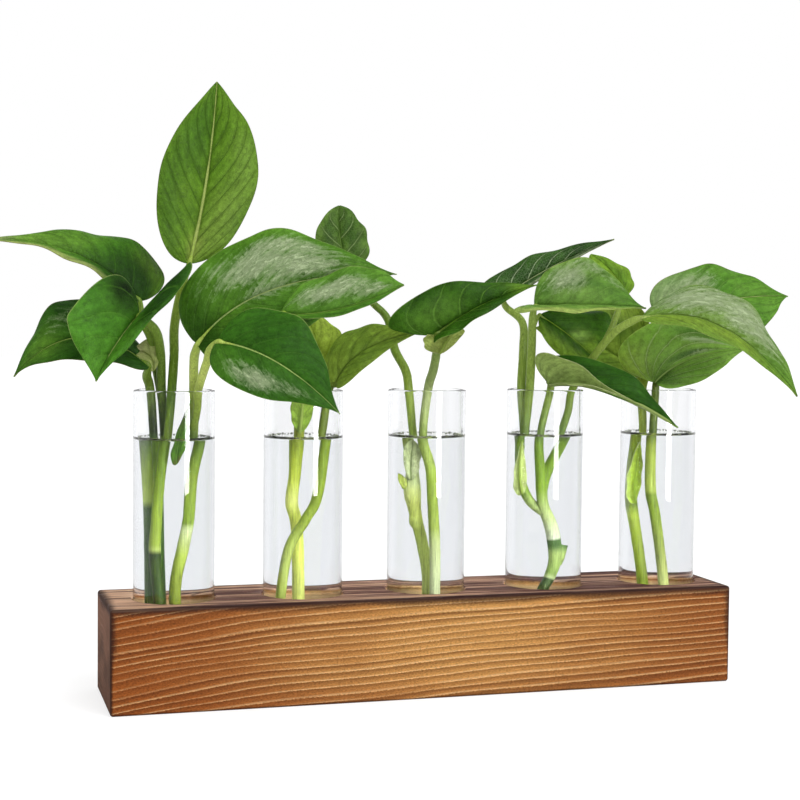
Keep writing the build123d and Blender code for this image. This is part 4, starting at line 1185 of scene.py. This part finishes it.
class BladeGrid:
    """The rows and columns of one blade's faces, and what its form and paint are worked out from."""

    def __init__(self, look, name, seed):
        self.blade = Blade(name)
        self.colours = blade_colours[name]
        self.seed = seed
        coarse = 1 * (2 if name in curl_shares else 1)
        along = eased(np.linspace(0, 1, look.rows // coarse + 1))[1:-1]
        half = eased(np.linspace(0, 1, look.columns // coarse + 1))
        across = np.concatenate([-half[::-1], half[1:]])
        ribs = np.array([self.blade.rib(share) for share in along])[:, None]
        edge_pairs = np.array([self.blade.edges(share) for share in along])
        face_up = np.array([self.blade.face_up(share) for share in along])[:, None]
        edges = np.where((across < 0)[None, :, None], edge_pairs[:, :1], edge_pairs[:, 1:])
        out = np.abs(across)[None, :, None]
        reach = np.linalg.norm(edges - ribs, axis=2, keepdims=True)
        arch = face_up * LEAF_ARCH_SHARE * reach * 4 * out * (1 - out)
        self.surface = ribs + (edges - ribs) * out + arch
        normals = unit(np.cross(np.gradient(self.surface, axis=0), np.gradient(self.surface, axis=1)))
        self.normals = normals * np.sign((normals * face_up).sum(axis=2, keepdims=True))
        reach = reach[..., 0]
        level = np.ones_like(reach)
        self.out = out[..., 0] * level
        self.along = along[:, None] * level
        self.across = across[None] * level
        self.from_rib = self.out * reach / MM
        self.slim = np.minimum(1, reach / SLIM_REACH)
        self.vein_count = max(4, round(look.vein_count * self.blade.length / LONG_BLADE))
        if self.colours.fanned:
            spread = np.arctan2(self.across * 0.8, self.along + 0.12)
            self.vein_run = spread * self.vein_count * 0.8 + VEIN_START + 0.5
        else:
            slant = self.along - 0.30 * self.out - 0.10 * self.out ** 2
            self.vein_run = slant * self.vein_count + np.where(self.across < 0, 0.5, 0.0) + VEIN_START

    def top_and_bottom(self, look):
        """The two faces of the blade, with pillows between its veins, a grooved midrib, lumps and waves."""
        pillow = np.abs(np.sin(math.pi * self.vein_run)) ** 0.7 * np.sqrt(self.out) * (1 - self.out ** 3)
        groove = np.exp(-self.from_rib ** 2) * np.sqrt(1 - self.along)
        lumps = field_noise(self.surface, 7 * MM, self.seed)
        phase = np.where(self.across < 0, self.seed, self.seed * 1.7)
        waves = np.sin(self.along * 19 + phase) * self.out ** 2
        lift = (pillow * look.pillow_height - groove * look.groove_depth + lumps * look.lump_height
                + waves * look.wave_height) * self.slim
        half_thick = look.thickness / 2 * (1 - 0.6 * self.out ** 6)
        rib_under = np.exp(-(self.from_rib / 0.8) ** 2) * look.rib_height * (1 - 0.75 * self.along)
        return (self.surface + self.normals * (lift + half_thick)[..., None],
                self.surface + self.normals * (lift - half_thick - rib_under)[..., None])

    def nearness(self, at, aside, reach_along, reach_aside, falloff):
        """1 at a spot of the blade, falling away to 0 beyond its reach."""
        far_off = ((self.along - at) / reach_along) ** 2 + ((self.across - aside) / reach_aside) ** 2
        return np.exp(-far_off ** falloff)

    def painted(self, main, second, colour_shade_and_highlight_patches, blotch):
        """One face's colours: two that mingle, the patch colours on them, which are its own tones, painted
        shade and painted highlights, and the edge.
        """
        blend = np.clip(blotch * 0.9 + 0.5, 0, 1)[..., None]
        paint = main * (1 - blend) + second * blend
        for *spot, colour, strength in colour_shade_and_highlight_patches:
            weight = strength * self.nearness(*spot, falloff=1.3) * (1 + blotch * 0.4)
            weight = np.clip(weight, 0, 1)[..., None]
            paint = paint * (1 - weight) + np.array(chart(*colour)) * weight
        weight = (np.clip((self.out - 0.985) / 0.01, 0, 1) * 0.7)[..., None]
        return paint * (1 - weight) + np.array(chart(*self.colours.edge)) * weight

    def paint(self, mesh):
        """Stores the colours, veins, painted highlight and gloss of the closed blade's points."""
        colours = self.colours
        main, second = np.array(chart(*colours.main)), np.array(chart(*colours.second))
        under = np.array(chart(*colours.under))
        blotch = (field_noise(self.surface, 13 * MM, self.seed + 5) * 0.8
                  + field_noise(self.surface, 4 * MM, self.seed + 9) * 0.5)
        top = self.painted(main, second, colours.colour_shade_and_highlight_patches, blotch)
        bottom = self.painted(under, under * 1.25, colours.under_patches, blotch)
        middle = top.shape[1] // 2
        put_colour(mesh, "paint", listed(top, bottom, top[0, middle], top[-1, middle]).reshape(-1, 3), 1)
        strength = colours.vein_strength * (1 - self.out ** 4) * np.clip(self.out * 12, 0, 1) * self.slim
        put_colour(mesh, "vein_paint", chart(*colours.veins), listed(strength, strength * 0.7, 0, 0))
        widths = colours.rib_width * (1 - 0.6 * self.along)
        put_colour(mesh, "rib_paint", chart(*colours.rib),
                   listed(widths, widths, colours.rib_width, colours.rib_width * 0.4))
        run = self.vein_run + self.seed * 10
        flow = np.stack([run, self.out + 0.001, self.from_rib], axis=-1)
        foot_run = VEIN_START + self.seed * 10
        put_vector(mesh, "flow", listed(flow, flow, (foot_run, 0, 0), (foot_run + self.vein_count, 0, 0)))
        # Where the painted silver highlight lies on the top; the underside has none
        painted_sheen = np.zeros_like(self.out)
        for *spot, weight in colours.painted_sheens:
            painted_sheen = np.maximum(painted_sheen, weight * self.nearness(*spot, falloff=1.2))
        put_value(mesh, "painted_sheen", listed(painted_sheen, painted_sheen * 0, 0, 0))
        put_value(mesh, "gloss", listed(np.full_like(painted_sheen, 0.38), np.full_like(painted_sheen, 0.55), 0.5, 0.5))
        put_map(mesh, self.along, self.across)


def listed(*parts):
    """The values of a closed blade's points in one row: its top, underside, foot and tip."""
    return np.concatenate([np.ravel(part) for part in parts])


def put_value(mesh, name, values):
    """Stores a number at each point."""
    mesh.attributes.new(name, "FLOAT", "POINT").data.foreach_set("value", np.asarray(values, np.float32))


def put_vector(mesh, name, values):
    """Stores a vector at each point, from their parts in one row."""
    mesh.attributes.new(name, "FLOAT_VECTOR", "POINT").data.foreach_set("vector", values.astype(np.float32))


def put_colour(mesh, name, colour, alpha):
    """Stores a colour at each point, from one for all or one each."""
    values = np.empty((len(mesh.vertices), 4), np.float32)
    values[:, :3] = colour
    values[:, 3] = alpha
    mesh.attributes.new(name, "FLOAT_COLOR", "POINT").data.foreach_set("color", values.ravel())


def put_map(mesh, along, across):
    """Lays the top and the underside out side by side on the mesh's own map."""
    flat = [np.c_[along.ravel(), across.ravel() * 0.24 + middle] for middle in (0.25, 0.75)]
    points = np.concatenate([*flat, [[0, 0.25], [1, 0.25]]])
    corners = np.empty(len(mesh.loops), dtype=np.int32)
    mesh.loops.foreach_get("vertex_index", corners)
    mesh.uv_layers.new(name="blade_map").data.foreach_set("uv", points[corners].astype(np.float32).ravel())


def blade_mesh(look, name, seed):
    """A leaf as a closed thin blade with veins, pillows and waves, painted with its own colours."""
    grid = BladeGrid(look, name, seed)
    top, bottom = grid.top_and_bottom(look)
    mesh = closed_blade(name, top, bottom, np.array(grid.blade.foot), np.array(grid.blade.tip))
    grid.paint(mesh)
    return mesh


def closed_blade(name, top, bottom, foot, tip):
    """A mesh from the top and bottom grids, closed round the edge and at the foot and tip."""
    rows, columns = top.shape[:2]
    places = np.concatenate([top.reshape(-1, 3), bottom.reshape(-1, 3), [foot, tip]])
    under = rows * columns
    foot_at, tip_at = 2 * under, 2 * under + 1
    faces = []
    for left in range(0, under - columns, columns):
        right = left + columns - 1
        for first in range(left, right):
            above, below = first + columns, under + first
            faces.append((first, first + 1, above + 1, above))
            faces.append((below, below + columns, below + columns + 1, below + 1))
        faces.append((left, left + columns, under + left + columns, under + left))
        faces.append((right, under + right, under + right + columns, right + columns))
    last = under - columns
    for column in range(columns - 1):
        faces.append((foot_at, column + 1, column))
        faces.append((foot_at, under + column, under + column + 1))
        faces.append((tip_at, last + column, last + column + 1))
        faces.append((tip_at, under + last + column + 1, under + last + column))
    faces += [(foot_at, 0, under), (foot_at, under + columns - 1, columns - 1)]
    faces += [(tip_at, under + last, last), (tip_at, last + columns - 1, under + last + columns - 1)]
    mesh = bpy.data.meshes.new(name)
    mesh.from_pydata(places.tolist(), [], faces)
    mesh.shade_smooth()
    if volume_of(mesh) < 0:
        mesh.flip_normals()
    return mesh


def volume_of(mesh):
    """The signed volume of a closed mesh, negative where its faces point inwards."""
    mesh.calc_loop_triangles()
    places = np.empty(len(mesh.vertices) * 3)
    mesh.vertices.foreach_get("co", places)
    places = places.reshape(-1, 3)
    corners = np.empty(len(mesh.loop_triangles) * 3, dtype=np.int32)
    mesh.loop_triangles.foreach_get("vertices", corners)
    first, second, third = places[corners.reshape(-1, 3)].transpose(1, 0, 2)
    return float((first * np.cross(second, third)).sum() / 6)


class VASE_OT_finish_block(bpy.types.Operator):
    """Give the wooden block its torched and brushed pine"""
    bl_idname = "vase.finish_block"
    bl_label = "Finish Block"

    def execute(self, context):
        dress("wood_block", torched_pine(context.scene.vase_wood))
        return {"FINISHED"}


class VASE_OT_finish_tubes(bpy.types.Operator):
    """Give the tubes their clear glass"""
    bl_idname = "vase.finish_tubes"
    bl_label = "Finish Tubes"

    def execute(self, context):
        material = see_through("clear_glass", context.scene.vase_glass)
        for tube_number in TUBES:
            dress(f"glass_tube_{tube_number}", material)
        return {"FINISHED"}


class VASE_OT_fill_tubes(bpy.types.Operator):
    """Fill the tubes with water, with small bubbles round its edge"""
    bl_idname = "vase.fill_tubes"
    bl_label = "Fill Tubes"

    def execute(self, context):
        look = context.scene.vase_water
        material = see_through("still_water", look)
        film = shaded_bubble_film(look)
        tree = bubble_tree()
        for tube_number in TUBES:
            water = water_body(look, tube_number)
            water.data.materials.append(material)
            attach(water, f"tube_{tube_number}")
            bubbles = bubble_ring(look, tree, tube_number, film)
            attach(bubbles, f"tube_{tube_number}")
        return {"FINISHED"}


class VASE_OT_grow_stems(bpy.types.Operator):
    """Grow the stems, each with its leaf stalks"""
    bl_idname = "vase.grow_stems"
    bl_label = "Grow Stems"

    def execute(self, context):
        look = context.scene.vase_stem
        inputs = {"Sides": look.sides, "Lumps": look.lump_height, "Material": stem_skin()}
        tree = stem_tree()
        for name in stem_shares:
            piece = new_object(name + "_skin", stem_lines(look, name))
            piece.data = tree.mesh_from(piece, inputs)
            piece.data.set_sharp_from_angle(angle=math.radians(55))
            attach(piece, f"bunch_{own_tube(name)}")
            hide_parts(name)
        return {"FINISHED"}


class VASE_OT_grow_leaves(bpy.types.Operator):
    """Grow the leaves, each painted with its own colours"""
    bl_idname = "vase.grow_leaves"
    bl_label = "Grow Leaves"

    def execute(self, context):
        look = context.scene.vase_leaf
        material = leaf_skin()
        for seed, name in enumerate(blade_shares):
            piece = new_object(name + "_blade", blade_mesh(look, name, seed))
            piece.data.materials.append(material)
            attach(piece, f"bunch_{own_tube(name)}")
            if name in leaf_shares:
                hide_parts(name)
        return {"FINISHED"}


class VASE_OT_set_stage(bpy.types.Operator):
    """Lay the floor and set up the light and the camera"""
    bl_idname = "vase.set_stage"
    bl_label = "Set Stage"

    def execute(self, context):
        look = context.scene.vase_stage
        lay_floor(look)
        light_room(look)
        hang_lamps(look)
        set_camera()
        context.scene.view_settings.view_transform = "Standard"
        return {"FINISHED"}


def dress(node_name, material):
    """Gives a solid its material."""
    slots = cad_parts[node_name].material_slots
    if not slots:
        raise RuntimeError(f"{node_name} has no material slot")
    for slot in slots:
        slot.material = material


def bubble_ring(look, tree, tube_number, material):
    """Small bubbles where the water meets the glass, unevenly spaced."""
    middle = rim_middle(tube_number)
    reach = bore_radius(tube_number) - look.bubble_radius * 1.3
    height = look.surface_height + look.climb * 0.7
    places = []
    for number in range(look.bubble_count):
        shifted = number + 0.35 * math.sin(number * 5.3 + tube_number)
        places.append(round_about(middle, reach, 2 * math.pi * shifted / look.bubble_count, height))
    mesh = bpy.data.meshes.new(f"bubbles_{tube_number}")
    mesh.from_pydata(places, [], [])
    piece = new_object(f"bubbles_{tube_number}", mesh)
    piece.data = tree.mesh_from(piece, {"Radius": look.bubble_radius, "Scatter": look.bubble_radius * 0.5,
                                        "Seed": tube_number, "Material": material})
    return piece


def show(finish, own, seen, dim, backward):
    """Gives soft light a place's own shader, and the camera the seen one, also through glass. Mirror images
    show the seen one behind the vase, where backward is 1, and the dim one in front of it."""
    path = finish.node("LightPath", None, None, "Is Camera Ray")
    unmirrored = finish.step(path.also("Glossy Depth"), 0.4, 0.6, 1.0, 0.0)
    direct = finish.sum("MAXIMUM", path, path.also("Is Transmission Ray") * unmirrored)
    hidden = finish.blend(path.also("Is Glossy Ray"), own, finish.blend(backward, dim, seen))
    finish.finished(finish.blend(direct, hidden, seen))


def lay_floor(look):
    """A plain white floor that keeps the vase's soft shadow."""
    reach = look.floor_reach
    corners = [(-reach, -reach, 0), (reach, -reach, 0), (reach, reach, 0), (-reach, reach, 0)]
    mesh = bpy.data.meshes.new("floor")
    mesh.from_pydata(corners, [], [(0, 1, 2, 3)])
    floor = new_object("floor", mesh)
    material, paint = new_material("white_floor")
    matt = paint.node("BsdfDiffuse", None, {"Color": look.floor_tone})
    shadowed = paint.node("BsdfDiffuse", None, {"Color": (0.4, 0.4, 0.4)})
    glow = paint.node("Emission", None, {"Color": WHITE, "Strength": 0.72})
    dim = paint.node("Emission", None, {"Color": WHITE, "Strength": look.front_gloss})
    backward = paint.axes(paint.node("TexCoord", None, None, "Object"))[1]
    seen = paint.node("AddShader", None, {0: shadowed, 1: glow})
    show(paint, matt, seen, dim, paint.step(backward, -0.3, 0.3))
    mesh.materials.append(material)


def light_room(look):
    """Soft light from all round, and a white backdrop."""
    world = bpy.data.worlds.new("white_room")
    world.use_nodes = True
    bpy.context.scene.world = world
    room = Finish(world.node_tree, "OutputWorld")
    soft, white, dim = (room.node("Background", None, {"Color": WHITE, "Strength": strength})
                        for strength in (look.ambient, 1.0, look.front_gloss))
    backward = room.axes(room.node("TexCoord", None, None, "Generated"))[1]
    show(room, soft, white, dim, room.step(backward, -0.4, 0.7))


def hang_lamps(look):
    """A broad main lamp from the upper right, and a tall strip that only glossy faces show."""
    sun = bpy.data.lights.new("main_lamp", "SUN")
    sun.energy = look.sun_power
    sun.angle = math.radians(SUN_SPREAD)
    aim(new_object("main_lamp", sun), Vector(SUN_PLACE), Vector((0, 0, 0)))
    strip = bpy.data.lights.new("strip_lamp", "AREA")
    strip.shape = "RECTANGLE"
    strip.size, strip.size_y = STRIP_SIZE
    strip.energy = look.strip_power
    tall_lamp = new_object("strip_lamp", strip)
    tall_lamp.visible_diffuse = False
    tall_lamp.visible_transmission = False
    aim(tall_lamp, Vector(STRIP_PLACE), Vector((0, 0, STRIP_PLACE[2])))


def aim(lamp, place, target):
    """Stands a lamp at a place, facing a target."""
    turned_to = (target - place).to_track_quat("-Z", "Y").to_matrix().to_4x4()
    lamp.matrix_world = Matrix.Translation(place) @ turned_to


def set_camera():
    """The camera at the photograph's place and angle."""
    turn, tilt, roll = (math.radians(angle) for angle in CAMERA_ANGLES)
    forward = Vector((math.sin(turn) * math.cos(tilt), math.cos(turn) * math.cos(tilt), math.sin(tilt)))
    right = Vector((math.cos(turn), -math.sin(turn), 0))
    up = right.cross(forward)
    right, up = right * math.cos(roll) + up * math.sin(roll), up * math.cos(roll) - right * math.sin(roll)
    data = bpy.data.cameras.new("camera")
    data.lens = CAMERA_LENS
    data.sensor_width = SENSOR_WIDTH
    data.clip_start = 0.01
    camera = new_object("camera", data)
    turned_to = Matrix((right, up, -forward)).transposed().to_4x4()
    camera.matrix_world = Matrix.Translation(CAMERA_PLACE) @ turned_to
    bpy.context.scene.camera = camera


STEPS = (VASE_OT_finish_block, VASE_OT_finish_tubes, VASE_OT_fill_tubes, VASE_OT_grow_stems,
         VASE_OT_grow_leaves, VASE_OT_set_stage)


class VASE_PT_steps(bpy.types.Panel):
    """The steps that dress the vase, with their sizes and colours"""
    bl_idname = "VASE_PT_steps"
    bl_label = "Test Tube Vase"
    bl_space_type = "VIEW_3D"
    bl_region_type = "UI"
    bl_category = "Vase"

    def draw(self, context):
        for step in STEPS:
            self.layout.operator(step.bl_idname)
        for name, look in LOOKS.items():
            box = self.layout.box()
            box.label(text=look.__doc__)
            for entry in look.__annotations__:
                box.prop(getattr(context.scene, name), entry)


def register():
    """Adds the sizes and colours, the steps and the panel."""
    for kind in (*LOOKS.values(), *STEPS, VASE_PT_steps):
        bpy.utils.register_class(kind)
    for name, look in LOOKS.items():
        setattr(bpy.types.Scene, name, bpy.props.PointerProperty(type=look))


def unregister():
    """Takes them away again."""
    for name in LOOKS:
        delattr(bpy.types.Scene, name)
    for kind in reversed((*LOOKS.values(), *STEPS, VASE_PT_steps)):
        bpy.utils.unregister_class(kind)


def main():
    """Dresses the whole vase."""
    register()
    for step in STEPS:
        getattr(bpy.ops.vase, step.bl_idname.split(".")[1])()
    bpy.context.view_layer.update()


if __name__ == "__main__":
    main()
